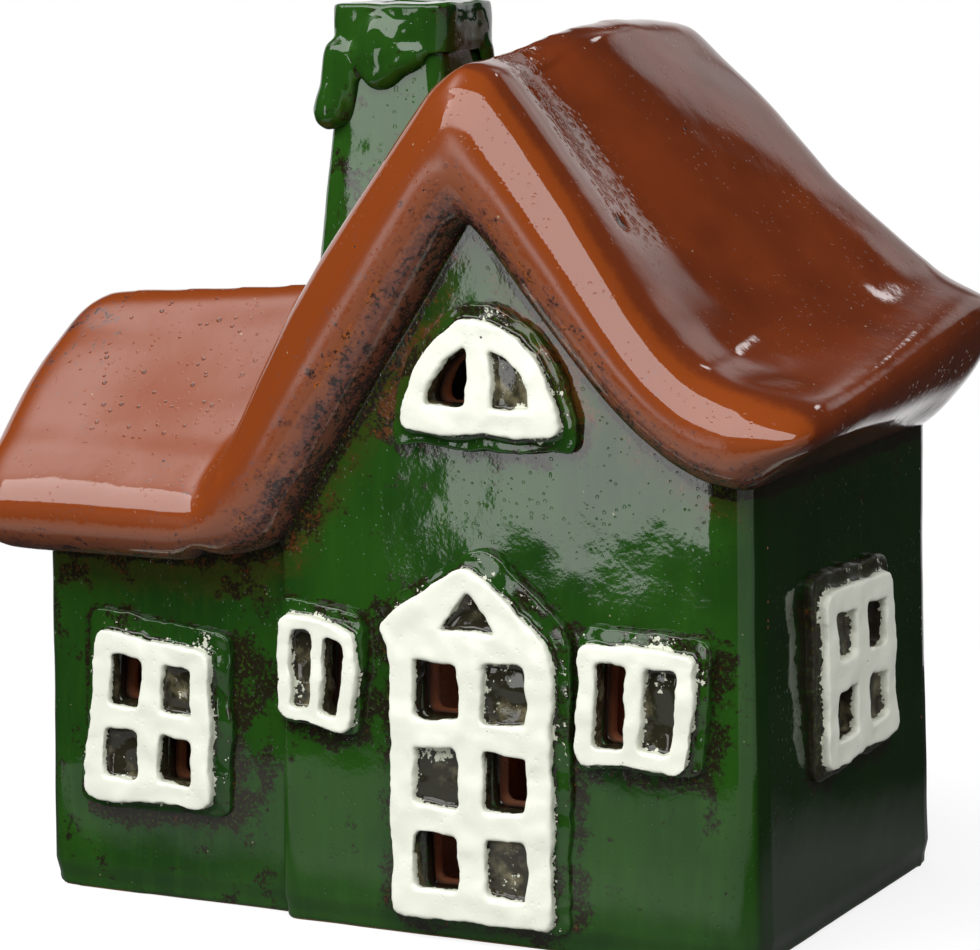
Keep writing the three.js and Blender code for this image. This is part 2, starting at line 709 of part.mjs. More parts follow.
function collar() {
  const halfWidth = STACK_WIDTH / 2 + COLLAR_WALL;
  const halfLength = STACK_LENGTH / 2 + COLLAR_WALL;
  const round = STACK_ROUNDING + COLLAR_WALL;
  const outline = rounded(rectangle(-halfWidth, halfWidth, -halfLength, halfLength), round);
  const band = extruded(outline, COLLAR_BAND, CHIMNEY_TOP - COLLAR_BAND).translate(chimneyX, chimneyY, 0);
  const drips = [
    drip([[-0.95, -1]], [-0.92, -1], 2.6, 6.2),
    drip([[-0.5, -1], [0.5, -1]], [-0.16, -1], 1.75, 5),
    drip([[-1, 0.3]], [-1, 0.5], 2.1, 5.6),
    drip([[-0.3, 1], [0.4, 1]], [0.1, 1], 1.9, 5.4),
    drip([[0.94, 0.6]], [0.9, 0.7], 1.6, 5),
  ];
  const whole = drips.reduce((sum, one) => sum.add(one), solid(band));
  return cut(whole, solid(stack(SLIP, stackTop + SLIP)), flue);
}

// Tealight: thin metal cup, wax, and a wick held by a small metal tab under the wax.
function turned(profile, segments) {
  return solid(new THREE.LatheGeometry(profile.map(([r, z]) => point(r, z)), segments).rotateX(Math.PI / 2));
}

const cupInside = CUP_RADIUS - CUP_WALL;
const cup = turned(
  [
    [0, 0],
    [CUP_RADIUS, 0],
    [CUP_RADIUS, CUP_HEIGHT],
    [cupInside, CUP_HEIGHT],
    [cupInside, CUP_WALL],
    [0, CUP_WALL],
  ],
  40,
);
const tabFoot = CUP_WALL + TEALIGHT_FIT;
const tab = turned(
  [
    [0, tabFoot],
    [TAB_RADIUS, tabFoot],
    [TAB_RADIUS, tabFoot + TAB_HEIGHT],
    [0, tabFoot + TAB_HEIGHT],
  ],
  20,
);
const wickFoot = tabFoot + TAB_HEIGHT + TEALIGHT_FIT;
const wick = turned(
  [
    [0, wickFoot],
    [WICK_RADIUS, wickFoot],
    [WICK_RADIUS, WICK_HEIGHT - WICK_RADIUS],
    [WICK_RADIUS / 2, WICK_HEIGHT],
    [0, WICK_HEIGHT],
  ],
  10,
);
const waxInside = WICK_RADIUS + TEALIGHT_FIT;
const wax = turned(
  [
    [waxInside, wickFoot],
    [TAB_RADIUS + TEALIGHT_FIT, wickFoot],
    [TAB_RADIUS + TEALIGHT_FIT, tabFoot],
    [cupInside - TEALIGHT_FIT, tabFoot],
    [cupInside - TEALIGHT_FIT, WAX_HEIGHT],
    [waxInside, WAX_HEIGHT],
    [waxInside, wickFoot],
  ],
  40,
);

// Assembly
const group = new THREE.Group();
const GREEN = { color: 0x2c5a20, roughness: 0.2, metalness: 0 };
const BROWN = { color: 0x8a3d20, roughness: 0.22, metalness: 0 };
const WHITE = { color: 0xe9ece4, roughness: 0.3, metalness: 0 };
const CLAY = { color: 0xb5673f, roughness: 0.85, metalness: 0 };
const METAL = { color: 0xc9ccd0, roughness: 0.35, metalness: 1 };
const WAX = { color: 0xf3efe4, roughness: 0.5, metalness: 0 };
const COTTON = { color: 0xded8c8, roughness: 0.9, metalness: 0 };

function piece(name, body, look, parent = group) {
  const mesh = new THREE.Mesh(surface(body), new THREE.MeshStandardMaterial(look));
  mesh.name = name;
  parent.add(mesh);
  return mesh;
}

function onFace(name, made, frame) {
  piece(name, made.body, WHITE, frame).position.z = SLIP;
}

group.add(frontFace, annexFace, sideFace);
piece("main_floor", mainFloor, CLAY);
piece("annex_floor", annexFloor, CLAY);
piece("front_wall", frontWall, GREEN);
piece("right_wall", rightWall, GREEN);
piece("rear_wall", rearWall, GREEN);
piece("left_wall", leftWall, GREEN);
piece("annex_front_wall", annexFrontWall, GREEN);
piece("annex_end_wall", annexEndWall, GREEN);
piece("annex_rear_wall", annexRearWall, GREEN);
piece("main_roof", mainRoof, BROWN);
piece("annex_roof", annexRoof, BROWN);
piece("chimney_stack", chimneyStack, GREEN);
piece("chimney_collar", collar(), GREEN);
onFace("front_door", door, frontFace);
onFace("gable_window", moon, frontFace);
onFace("front_left_window", frontLeft, frontFace);
onFace("front_right_window", frontRight, frontFace);
onFace("annex_window", annexCasement, annexFace);
onFace("side_window", sideCasement, sideFace);

const tealight = new THREE.Group();
tealight.position.set(TEALIGHT_OFFSET, 0, FLOOR + SLIP);
group.add(tealight);
piece("tealight_cup", cup, METAL, tealight);
piece("tealight_wax", wax, WAX, tealight);
piece("tealight_wick", wick, COTTON, tealight);
piece("wick_tab", tab, METAL, tealight);

export default group;
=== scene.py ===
import math

import bmesh
import bpy
import numpy as np
from mathutils import Matrix, Vector, geometry, noise
from mathutils.bvhtree import BVHTree


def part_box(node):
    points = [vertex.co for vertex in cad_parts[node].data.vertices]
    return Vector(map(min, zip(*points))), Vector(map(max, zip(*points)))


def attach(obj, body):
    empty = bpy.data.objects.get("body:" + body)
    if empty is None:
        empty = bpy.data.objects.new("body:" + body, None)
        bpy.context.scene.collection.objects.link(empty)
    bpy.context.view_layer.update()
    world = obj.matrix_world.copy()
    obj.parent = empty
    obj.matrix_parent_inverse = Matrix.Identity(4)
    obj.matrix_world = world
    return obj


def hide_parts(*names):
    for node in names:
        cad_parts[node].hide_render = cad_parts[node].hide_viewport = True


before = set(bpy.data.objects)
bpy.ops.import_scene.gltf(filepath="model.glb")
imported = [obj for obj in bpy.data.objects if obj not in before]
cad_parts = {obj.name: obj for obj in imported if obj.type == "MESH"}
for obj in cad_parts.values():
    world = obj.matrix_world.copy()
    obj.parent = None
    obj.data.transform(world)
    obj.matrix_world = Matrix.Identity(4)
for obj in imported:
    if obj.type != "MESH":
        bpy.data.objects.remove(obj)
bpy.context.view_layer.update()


# Floors. Two slabs of red earthenware, rolled out and luted between the feet of the walls.
# They stay bare, so the kiln has left them a dry brick orange with sandy grog in the clay.
WELD = 1e-6
SWELL = 0.00022
CLAY_VOXEL = 0.0009
CLAY_RUBS = 4
CLAY_DENT = 0.0005
CLAY_BLOTCH = 0.009
CLAY_GRIT = 0.0007
CLAY_ROUGH = 0.85
CLAY_BUMP = (0.5, 0.0003)
THUMB = 0.017
FINGER = 0.0065
CLAY = (0.42, 0.13, 0.05, 1)
CLAY_PALE = (0.58, 0.25, 0.12, 1)
CLAY_BURNT = (0.2, 0.05, 0.02, 1)


def set_down(name, shape):
    """New object of this shape, linked to the scene."""
    piece = bpy.data.objects.new(name, bpy.data.meshes.new(name))
    shape.to_mesh(piece.data)
    shape.free()
    bpy.context.scene.collection.objects.link(piece)
    return piece


def slabs(name, *nodes):
    """New object of these slabs' merged copies, swollen a little so that luted slabs meet."""
    shape = bmesh.new()
    for node in nodes:
        shape.from_mesh(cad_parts[node].data)
    bmesh.ops.remove_doubles(shape, verts=shape.verts, dist=WELD)
    shape.normal_update()
    for vert in shape.verts:
        vert.co += vert.normal * SWELL
    return set_down(name, shape)


def dent_pattern(name, size):
    pattern = bpy.data.textures.new(name, "CLOUDS")
    pattern.noise_scale = size
    pattern.noise_depth = 1
    return pattern


def worked(piece, voxel, rounds, dents=()):
    """The piece as one skin of fine clay, rubbed smooth and then dented by hand."""
    remesh = piece.modifiers.new("skin", "REMESH")
    remesh.mode = "VOXEL"
    remesh.voxel_size = voxel
    rub = piece.modifiers.new("rub", "SMOOTH")
    rub.factor = 0.5
    rub.iterations = rounds
    for pattern, depth in dents:
        dent = piece.modifiers.new("dent", "DISPLACE")
        dent.texture = pattern
        dent.texture_coords = "LOCAL"
        dent.strength = depth
        dent.mid_level = 0.5
    bpy.context.view_layer.update()
    shaped = piece.evaluated_get(bpy.context.evaluated_depsgraph_get())
    piece.data = bpy.data.meshes.new_from_object(shaped)
    piece.modifiers.clear()
    piece.data.polygons.foreach_set("use_smooth", np.ones(len(piece.data.polygons), bool))
    return piece


def fed(tree, made, values):
    """The node with its sockets set, or linked where a value comes from another node."""
    for socket, value in (values or {}).items():
        if isinstance(value, bpy.types.NodeSocket):
            tree.links.new(value, made.inputs[socket])
        else:
            made.inputs[socket].default_value = value
    return made


def wire(tree, kind, values=None, **settings):
    """A new shader node with its settings made, and fed."""
    made = tree.nodes.new("ShaderNode" + kind)
    for name, value in settings.items():
        setattr(made, name, value)
    return fed(tree, made, values)


def math_of(tree, operation, a, b=0.0):
    return wire(tree, "Math", {0: a, 1: b}, operation=operation).outputs[0]


def rise(tree, value, low, high):
    """0 below low and 1 above high, or the other way round where low is the higher."""
    values = {"Value": value, "From Min": low, "From Max": high}
    return wire(tree, "MapRange", values, interpolation_type="SMOOTHSTEP").outputs[0]


def tinted(tree, share, under, over):
    return wire(tree, "Mix", {0: share, 6: under, 7: over}, data_type="RGBA").outputs[2]


def grain(tree, place, size, detail=2.0, rough=0.5):
    values = {"Vector": place, "Scale": 1 / size, "Detail": detail, "Roughness": rough}
    return wire(tree, "TexNoise", values).outputs[0]


def measure(tree, name):
    return wire(tree, "Attribute", attribute_name=name).outputs["Fac"]


def new_material(name):
    material = bpy.data.materials.new(name)
    material.use_nodes = True
    tree = material.node_tree
    tree.nodes.clear()
    shader = wire(tree, "BsdfPrincipled")
    tree.links.new(shader.outputs[0], wire(tree, "OutputMaterial").inputs[0])
    return material, tree, shader


def bumped(tree, shader, height, strength, depth):
    bump = wire(tree, "Bump", {"Height": height, "Strength": strength, "Distance": depth})
    tree.links.new(bump.outputs[0], shader.inputs["Normal"])


def new_group(name, inputs, outputs):
    group = bpy.data.node_groups.new(name, "ShaderNodeTree")
    for label, value in inputs:
        socket = group.interface.new_socket(label, in_out="INPUT", socket_type="NodeSocketFloat")
        socket.default_value = value
    for label, kind in outputs:
        group.interface.new_socket(label, in_out="OUTPUT", socket_type="NodeSocket" + kind)
    return group, group.nodes.new("NodeGroupInput").outputs, group.nodes.new("NodeGroupOutput").inputs


def placed(tree, group, values=None):
    """The outputs of this node group, placed in the tree and fed."""
    made = tree.nodes.new("ShaderNodeGroup")
    made.node_tree = group
    return fed(tree, made, values).outputs


def bare_clay_group():
    """Dry, fired clay: sandy colour, burnt grit, and a gritty height."""
    group, _, out = new_group("bare_clay", (), (("Color", "Color"), ("Height", "Float")))
    place = wire(group, "TexCoord").outputs["Object"]
    broad = grain(group, place, CLAY_BLOTCH, 3)
    grit = grain(group, place, CLAY_GRIT, 3, 0.7)
    colour = tinted(group, rise(group, broad, 0.35, 0.7), CLAY, CLAY_PALE)
    colour = tinted(group, rise(group, grit, 0.56, 0.72), colour, CLAY_BURNT)
    group.links.new(colour, out["Color"])
    group.links.new(grit, out["Height"])
    return group


bare_clay = bare_clay_group()


def clay_finish():
    material, tree, shader = new_material("bare_clay")
    clay = placed(tree, bare_clay)
    tree.links.new(clay["Color"], shader.inputs["Base Color"])
    bumped(tree, shader, clay["Height"], *CLAY_BUMP)
    shader.inputs["Roughness"].default_value = CLAY_ROUGH
    return material


clay_material = clay_finish()
thumb_dents = dent_pattern("thumb_dents", THUMB)
finger_dents = dent_pattern("finger_dents", FINGER)

for node in ("main_floor", "annex_floor"):
    floor_slab = worked(slabs(node + "_slab", node), CLAY_VOXEL, CLAY_RUBS, [(thumb_dents, CLAY_DENT)])
    floor_slab.data.materials.append(clay_material)
    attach(floor_slab, "house")
    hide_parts(node)


# Walls. Seven slabs of the same clay, luted at the corners and rubbed round, then dipped in a
# glossy copper-green glaze. It breaks to rust where it runs thin over an edge, and lies black and
# speckled where it pools under the roof, beside the plaques and in the corners. Inside is bare.
WALLS = (
    "front_wall",
    "right_wall",
    "rear_wall",
    "left_wall",
    "annex_front_wall",
    "annex_end_wall",
    "annex_rear_wall",
)
ROOFS = ("main_roof", "annex_roof")
PLAQUES = (
    "front_door",
    "gable_window",
    "front_left_window",
    "front_right_window",
    "annex_window",
    "side_window",
)
WALL_VOXEL = 0.00055
WALL_RUBS = 7
WALL_THUMB = 0.0003
WALL_FINGER = 0.00005
WALL_SINK = 0.0025
TOUCHING = 0.0012
FLARE = 0.0011
FLARE_HEIGHT = 0.05
FOOT_EDGE = 0.004
FOOT_LEAST = 0.4
BEND_ROUNDS = 3
ROOM_DEPTH = 0.0048
BARED_REACHES = (0.0024, 0.003, 0.0036, 0.0042)
REVEAL_DEPTH = 0.0068
REVEAL_REACH = 0.0075
UNDERSIDE = -0.8
POOL_ABOVE = 0.003
POOL_LEFT = 0.004
RUN_START = 0.004
RUN_FADE = 0.014
RUN_LEAST = 0.35
# Painted shade: how far a point must turn to the right, away from the light, and its greatest share.
PAINTED_SHADE_FACING = (0.75, 0.95)
PAINTED_SHADE_SHARE = 0.8
UNDER_EAVE = (0.012, 0.001)
AT_EAVE = (0.0024, 0.0006)
THIN_EAVE = (0.009, 0.003)
CLOSE = (0.005, 0.0006)
HOLLOW = (0.03, 0.16)
EDGE = (-0.12, -0.26)
BRUSH_DRAW = (1, 1, 0.16)
GLAZE_ROUGH = 0.05
GLAZE_BUMP = (0.35, 0.0002)
GREEN_DEEP = (0.009, 0.040, 0.005, 1)
GREEN = (0.016, 0.066, 0.006, 1)
GREEN_BRIGHT = (0.026, 0.1, 0.008, 1)
OLIVE = (0.05, 0.056, 0.008, 1)
POOLED = (0.014, 0.009, 0.005, 1)
RUST = (0.19, 0.055, 0.012, 1)
SPECK = (0.4, 0.36, 0.22, 1)
# Painted shade: dark green for the glaze on sides turned away from the light.
PAINTED_SHADE = (0.004, 0.014, 0.003, 1)
# Painted shade: near-black for the dark inside the house, on the reveals of the cut panes and under the
# roofs inside the rooms.
PAINTED_INSIDE_SHADE = (0.012, 0.007, 0.005, 1)


def skin_of(nodes):
    """Search tree over the slabs' faces, with the slab that each face belongs to."""
    corners, triangles, owners = [], [], []
    for node in nodes:
        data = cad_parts[node].data
        first = len(corners)
        corners += [vert.co for vert in data.vertices]
        triangles += [[first + i for i in face.vertices] for face in data.polygons]
        owners += [node] * len(data.polygons)
    return BVHTree.FromPolygons(corners, triangles), owners


def points_of(piece):
    flat = np.empty(3 * len(piece.data.vertices), np.float32)
    piece.data.vertices.foreach_get("co", flat)
    return flat.reshape(-1, 3)


def normals_of(piece):
    flat = np.empty(3 * len(piece.data.vertices), np.float32)
    piece.data.vertex_normals.foreach_get("vector", flat)
    return flat.reshape(-1, 3)


def edges_of(piece):
    flat = np.empty(2 * len(piece.data.edges), np.int32)
    piece.data.edges.foreach_get("vertices", flat)
    return flat.reshape(-1, 2)


def reshaped(piece, points):
    """The piece with its points moved to these."""
    piece.data.vertices.foreach_set("co", points.ravel())
    piece.data.update()
    return piece


def distance_to(piece, nodes, reach=0.03, above=0.0):
    """Distance of each point to these nodes, with so much added for a point straight above them."""
    tree, _ = skin_of(nodes)
    far = []
    for point in points_of(piece):
        place, _, _, away = tree.find_nearest(point, reach)
        over = 0 if place is None else max(0, point[2] - place.z) / max(away, WELD)
        far.append(reach if place is None else away + above * over)
    return np.array(far, np.float32)


def from_neighbours(ends, values):
    """Sum, for each point, of the values at the other ends of its edges."""
    a, b = ends
    return np.bincount(a, values[b], len(values)) + np.bincount(b, values[a], len(values))


def bend_of(piece):
    """How far the skin bends: above 0 in a hollow, below 0 over an edge, as slope for each step."""
    points, normals = points_of(piece), normals_of(piece)
    a, b = edges_of(piece).T
    step = points[b] - points[a]
    step /= np.maximum(np.linalg.norm(step, axis=1, keepdims=True), 1e-9)
    bend = np.bincount(a, (normals[a] * step).sum(1), len(points))
    bend -= np.bincount(b, (normals[b] * step).sum(1), len(points))
    count = np.maximum(from_neighbours((a, b), np.ones(len(points))), 1)
    bend /= count
    for _ in range(BEND_ROUNDS):
        bend = 0.5 * bend + 0.5 * from_neighbours((a, b), bend) / count
    return bend.astype(np.float32)


def ramp(values, start, end):
    """0 before the start, 1 past the end, and straight between."""
    return np.clip((values - start) / (end - start), 0, 1)


def mark(piece, name, values):
    piece.data.attributes.new(name, "FLOAT", "POINT").data.foreach_set("value", values)


def inside_rooms(points, reach):
    """True for points that lie in the rooms, or in their walls no farther than this reach."""
    x, y = points[:, 0], points[:, 1]
    within = np.zeros(len(points), bool)
    for node in ("main_floor", "annex_floor"):
        low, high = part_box(node)
        along = (x > low.x - reach) & (x < high.x + reach)
        within |= along & (y > low.y - reach) & (y < high.y + reach)
    return within


def parted(whole, nodes, ending, materials):
    """The whole cut along its luted joints into one closed piece for each slab, lit as one skin."""
    tree, owners = skin_of(nodes)
    nearest = [owners[tree.find_nearest(face.center)[2]] for face in whole.data.polygons]
    skin = whole.data.attributes.new("skin_normal", "FLOAT_VECTOR", "POINT")
    skin.data.foreach_set("vector", normals_of(whole).ravel())
    pieces = {}
    for node in nodes:
        shape = bmesh.new()
        shape.from_mesh(whole.data)
        shape.faces.ensure_lookup_table()
        away = [face for face in shape.faces if nearest[face.index] != node]
        bmesh.ops.delete(shape, geom=away, context="FACES")
        rims = [edge for edge in shape.edges if edge.is_boundary]
        joints = bmesh.ops.holes_fill(shape, edges=rims, sides=0)["faces"]
        joints = bmesh.ops.triangulate(shape, faces=joints)["faces"]
        for face in joints:
            face.material_index = 1
            face.smooth = False
        piece = set_down(node + ending, shape)
        data = piece.data
        for material in materials:
            data.materials.append(material)
        corner_of = np.empty(len(data.loops), np.int32)
        data.loops.foreach_get("vertex_index", corner_of)
        kept = np.empty(3 * len(data.vertices), np.float32)
        data.attributes["skin_normal"].data.foreach_get("vector", kept)
        lit = kept.reshape(-1, 3)[corner_of]
        for face in data.polygons:
            if face.material_index == 1:
                lit[face.loop_start : face.loop_start + face.loop_total] = face.normal
        data.normals_split_custom_set(lit.tolist())
        data.attributes.remove(data.attributes["skin_normal"])
        pieces[node] = piece
    bpy.data.objects.remove(whole)
    return pieces


def times(tree, *values):
    """The product of these values."""
    product = values[0]
    for value in values[1:]:
        product = math_of(tree, "MULTIPLY", product, value)
    return product


def total(tree, *values):
    """The sum of these values."""
    added = values[0]
    for value in values[1:]:
        added = math_of(tree, "ADD", added, value)
    return added


def spots(tree, place, spacing, radius, softness):
    """Round spots of mixed sizes, one to a cell: 1 at their middles and 0 past their rims."""
    cells = wire(tree, "TexVoronoi", {"Vector": place, "Scale": 1 / spacing})
    size = wire(tree, "SeparateColor", {0: cells.outputs["Color"]}).outputs[0]
    reach = times(tree, size, radius / spacing)
    inward = math_of(tree, "SUBTRACT", reach, cells.outputs["Distance"])
    return rise(tree, inward, -softness / spacing, softness / spacing)


def glaze_grain_group():
    """What every glaze on the house shares: clouds, brush marks, flecks, specks and small pits."""
    wanted = ("Cloud", "Brush", "Patch", "Fleck", "Specks", "Pinholes", "Pits", "Peel")
    group, _, out = new_group("glaze_grain", (), [(label, "Float") for label in wanted])
    place = wire(group, "TexCoord").outputs["Object"]
    drawn = wire(group, "Mapping", {"Vector": place, "Scale": BRUSH_DRAW}).outputs[0]
    pits = spots(group, place, 0.0011, 0.0003, 0.00006)
    gathered = rise(group, grain(group, place, 0.008, 2), 0.4, 0.56)
    for label, value in (
        ("Cloud", grain(group, place, 0.021, 2)),
        ("Brush", grain(group, drawn, 0.0024, 3, 0.6)),
        ("Patch", grain(group, place, 0.0052, 5, 0.62)),
        ("Fleck", grain(group, place, 0.0006, 2, 0.6)),
        ("Specks", spots(group, place, 0.0036, 0.0002, 0.00003)),
        ("Pinholes", spots(group, place, 0.0063, 0.00034, 0.00004)),
        ("Pits", times(group, pits, gathered)),
        ("Peel", grain(group, place, 0.0026, 2)),
    ):
        group.links.new(value, out[label])
    return group


glaze_grain = glaze_grain_group()


def ragged_group():
    """A mask with a torn edge: the value, shaken by flecks of two sizes, above a level."""
    inputs = (("Value", 0.0), ("Level", 0.5), ("Shake", 0.1), ("Softness", 0.03))
    group, given, out = new_group("ragged_edge", inputs, (("Mask", "Float"),))
    place = wire(group, "TexCoord").outputs["Object"]
    coarse = total(group, grain(group, place, 0.0032, 4, 0.65), -0.5)
    fine = total(group, grain(group, place, 0.0007, 2, 0.6), -0.5)
    shake = times(group, total(group, coarse, times(group, fine, 0.7)), given["Shake"])
    shaken = total(group, given["Value"], shake)
    low = math_of(group, "SUBTRACT", given["Level"], given["Softness"])
    high = total(group, given["Level"], given["Softness"])
    group.links.new(rise(group, shaken, low, high), out["Mask"])
    return group


ragged_edge = ragged_group()


def torn(tree, value, level, shake, softness=0.05):
    """Mask of the value above a level, with a torn edge."""
    values = {"Value": value, "Level": level, "Shake": shake, "Softness": softness}
    return placed(tree, ragged_edge, values)["Mask"]


def green_colour(tree):
    """Colour, roughness and height of the green glaze, from the marks on the clay under it."""
    glaze = placed(tree, glaze_grain)
    eave, beside, bend = measure(tree, "eave"), measure(tree, "beside"), measure(tree, "bend")
    colour = tinted(tree, rise(tree, glaze["Cloud"], 0.25, 0.65), GREEN_DEEP, GREEN)
    brushed = times(tree, rise(tree, glaze["Brush"], 0.4, 0.8), 0.3)
    colour = tinted(tree, brushed, colour, GREEN_BRIGHT)
    under = rise(tree, eave, *UNDER_EAVE)
    close = rise(tree, beside, *CLOSE)
    thinned = total(
        tree,
        times(tree, under, 0.35),
        times(tree, close, 0.2),
        times(tree, measure(tree, "run"), 0.16),
        times(tree, glaze["Patch"], 0.5),
    )
    olive = torn(tree, thinned, 0.55, 0.3, 0.15)
    colour = tinted(tree, times(tree, olive, 0.8), colour, OLIVE)
    # Painted shade: sides turned to the right, away from the light, are tinted dark.
    colour = tinted(tree, measure(tree, "shady"), colour, PAINTED_SHADE)
    pool = total(
        tree,
        times(tree, under, 0.06),
        times(tree, close, 0.2),
        times(tree, measure(tree, "run"), 0.14),
        times(tree, total(tree, glaze["Cloud"], -0.5), 0.2),
        times(tree, rise(tree, bend, *HOLLOW), 0.4),
        times(tree, rise(tree, eave, *AT_EAVE), 0.5),
        times(tree, glaze["Patch"], 0.66),
    )
    pooled = times(tree, torn(tree, pool, 0.485, 0.36, 0.05), rise(tree, glaze["Fleck"], 0.3, 0.5))
    colour = tinted(tree, times(tree, pooled, 0.95), colour, POOLED)
    thin = total(
        tree,
        times(tree, rise(tree, bend, *EDGE), 0.5),
        times(tree, rise(tree, eave, *THIN_EAVE), 0.34),
        times(tree, close, 0.3),
        # Painted shade also keeps rust off the sides turned away from the light.
        times(tree, measure(tree, "shady"), -0.3),
    )
    rusty = torn(tree, thin, 0.5, 1.0, 0.08)
    colour = tinted(tree, times(tree, rusty, 0.45), colour, RUST)
    colour = tinted(tree, glaze["Pinholes"], colour, POOLED)
    colour = tinted(tree, times(tree, glaze["Specks"], 0.5), colour, SPECK)
    bare, sooted = measure(tree, "bare"), measure(tree, "sooted")
    colour = tinted(tree, bare, colour, placed(tree, bare_clay)["Color"])
    # Painted shade: the reveals of the cut-through panes go near-black at their outer face, fading to
    # bare clay further in.
    colour = tinted(tree, times(tree, sooted, 0.93), colour, PAINTED_INSIDE_SHADE)
    rough = total(tree, GLAZE_ROUGH, times(tree, pooled, 0.05), times(tree, bare, 0.7))
    height = total(
        tree,
        times(tree, glaze["Peel"], 0.14),
        times(tree, glaze["Patch"], 0.3),
        times(tree, glaze["Fleck"], 0.04),
        times(tree, glaze["Pinholes"], -0.5),
        times(tree, glaze["Pits"], -0.35),
        times(tree, pooled, glaze["Fleck"], 0.05),
    )
    return colour, rough, height


def green_finish():
    material, tree, shader = new_material("green_glaze")
    colour, rough, height = green_colour(tree)
    tree.links.new(colour, shader.inputs["Base Color"])
    tree.links.new(rough, shader.inputs["Roughness"])
    bumped(tree, shader, height, *GLAZE_BUMP)
    return material


green_material = green_finish()


def sunk(piece, nodes, shift):
    """Moves the corners that touch these nodes into them, so that no joint gapes."""
    tree, _ = skin_of(nodes)
    for vert in piece.data.vertices:
        if tree.find_nearest(vert.co, TOUCHING)[0] is not None:
            vert.co += Vector(shift)
    return piece


def flared(piece):
    """Bows the walls out towards the foot, where the wet slabs settled."""
    points, facing = points_of(piece), normals_of(piece)
    lower = ramp(points[:, 2], FLARE_HEIGHT, 0) * np.clip(points[:, 2] / FOOT_EDGE, FOOT_LEAST, 1)
    facing[:, 2] = 0
    points += facing * (FLARE * np.where(inside_rooms(points, ROOM_DEPTH), 0, lower))[:, None]
    return reshaped(piece, points)


def painted_shade_of(piece):
    """Painted shade: how far each point turns to the right, away from the light."""
    return PAINTED_SHADE_SHARE * ramp(normals_of(piece)[:, 0], *PAINTED_SHADE_FACING)


house = sunk(slabs("walls", *WALLS), ROOFS, (0, 0, WALL_SINK))
house = worked(house, WALL_VOXEL, WALL_RUBS, [(thumb_dents, WALL_THUMB), (finger_dents, WALL_FINGER)])
house = flared(house)
corners, facing = points_of(house), normals_of(house)
beside = distance_to(house, PLAQUES, above=POOL_ABOVE)
beside += np.where(corners[:, 0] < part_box("annex_window")[0].x, POOL_LEFT, 0)
outer = (facing[:, 1] < -0.5) | ((facing[:, 0] > 0.5) & (corners[:, 0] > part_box("main_floor")[1].x))
reveal = inside_rooms(corners, REVEAL_DEPTH) & (beside < REVEAL_REACH) & ~outer
bared = np.mean([inside_rooms(corners, reach) for reach in BARED_REACHES], axis=0)
bare = inside_rooms(corners, ROOM_DEPTH) | (facing[:, 2] < UNDERSIDE)
past_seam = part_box("left_wall")[0].x - corners[:, 0]
fading = RUN_LEAST + (1 - RUN_LEAST) * np.exp(-np.maximum(past_seam, 0) / RUN_FADE)
mark(house, "eave", distance_to(house, ROOFS))
mark(house, "beside", beside)
mark(house, "bend", bend_of(house))
mark(house, "bare", np.where(bare, 1.0, 0.0))
# Painted shade on the reveals of the cut panes, strongest at their outer face.
mark(house, "sooted", np.where(reveal, 1 - bared, 0))
# Painted shade on the walls that turn to the right, away from the light.
mark(house, "shady", painted_shade_of(house))
mark(house, "run", ramp(past_seam, 0, RUN_START) * fading)
for node, wall in parted(house, WALLS, "_glazed", (green_material, clay_material)).items():
    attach(wall, "house")
    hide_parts(node)


# Roofs. Two thick slabs bent over the walls while wet, with their edges rolled under and the lower
# one's lip run into the toe of the higher. Iron-brown glaze, orange where it is thin over the rolls,
# purple and rough against the walls, with pits where the clay blew through.
ROOF_VOXEL = 0.00075
ROOF_RUBS = 36
ROOF_THUMB = 0.0003
ROOF_FINGER = 0.00006
SLOPE_RIGHT = (-0.1, 0.6)
SLOPE_UP = (0.1, 0.4)
VALLEY_PLACE = 0.026
VALLEY_WIDTH = 0.0095
VALLEY_DEPTH = 0.0026
VALLEY_GRAIN = 0.02
VALLEY_UNEVEN = 0.3
VALLEY_FOOT = (0.098, 0.112)
FACET_LEAN = math.radians(34)
FACET_SPREAD = 0.35
FACET_DEPTH = 0.00055
FACET_UP = (-0.1, 0.1)
FACET_ANNEX = 0.4
FACET_SEAM = 0.006
BURST = Vector((0.0158, -0.0292, 0.1112))
BURST_REACH = 0.0016
BURST_DEPTH = 0.0009
CROWN_PLACE = Vector((-0.077, -0.029, 0.083))
CROWN_REACH = 0.017
CROWN = 0.0012
EAVE_SPAN = 0.006
EAVE_LIFT = 0.003
EAVE_ROUNDS = 90
PITTED = Vector((-0.066, -0.03, 0.088))
PITTED_REACH = 0.021
SATIN_FACING = (0.93, 0.97)
ROLLED_FACING = (0.15, 0.55)
ROLLED_BEHIND = (0.02, 0.014)
THIN_ANNEX = 0.9
THIN_SEAM = 0.002
SCARS_PLACE = 0.022
SCARS_ACROSS = (0.009, 0.003)
SCARS_HEIGHT = (0.106, 0.11)
SCARS_FACING = (0.3, 0.5)
MATTED_PLACE = 0.018
MATTED_ACROSS = (0.0105, 0.0035)
MATTED_TOP = (0.112, 0.106)
MATTED_FOOT = (0.094, 0.098)
MATTED_UP = (0, 1 / 3)
CREASE_PLACE = 0.0088
CREASE_ACROSS = (0.00224, 0.00064)
CREASE_FACING = (1 / 3, 2 / 3)
CREASE_SEAM = 0.004
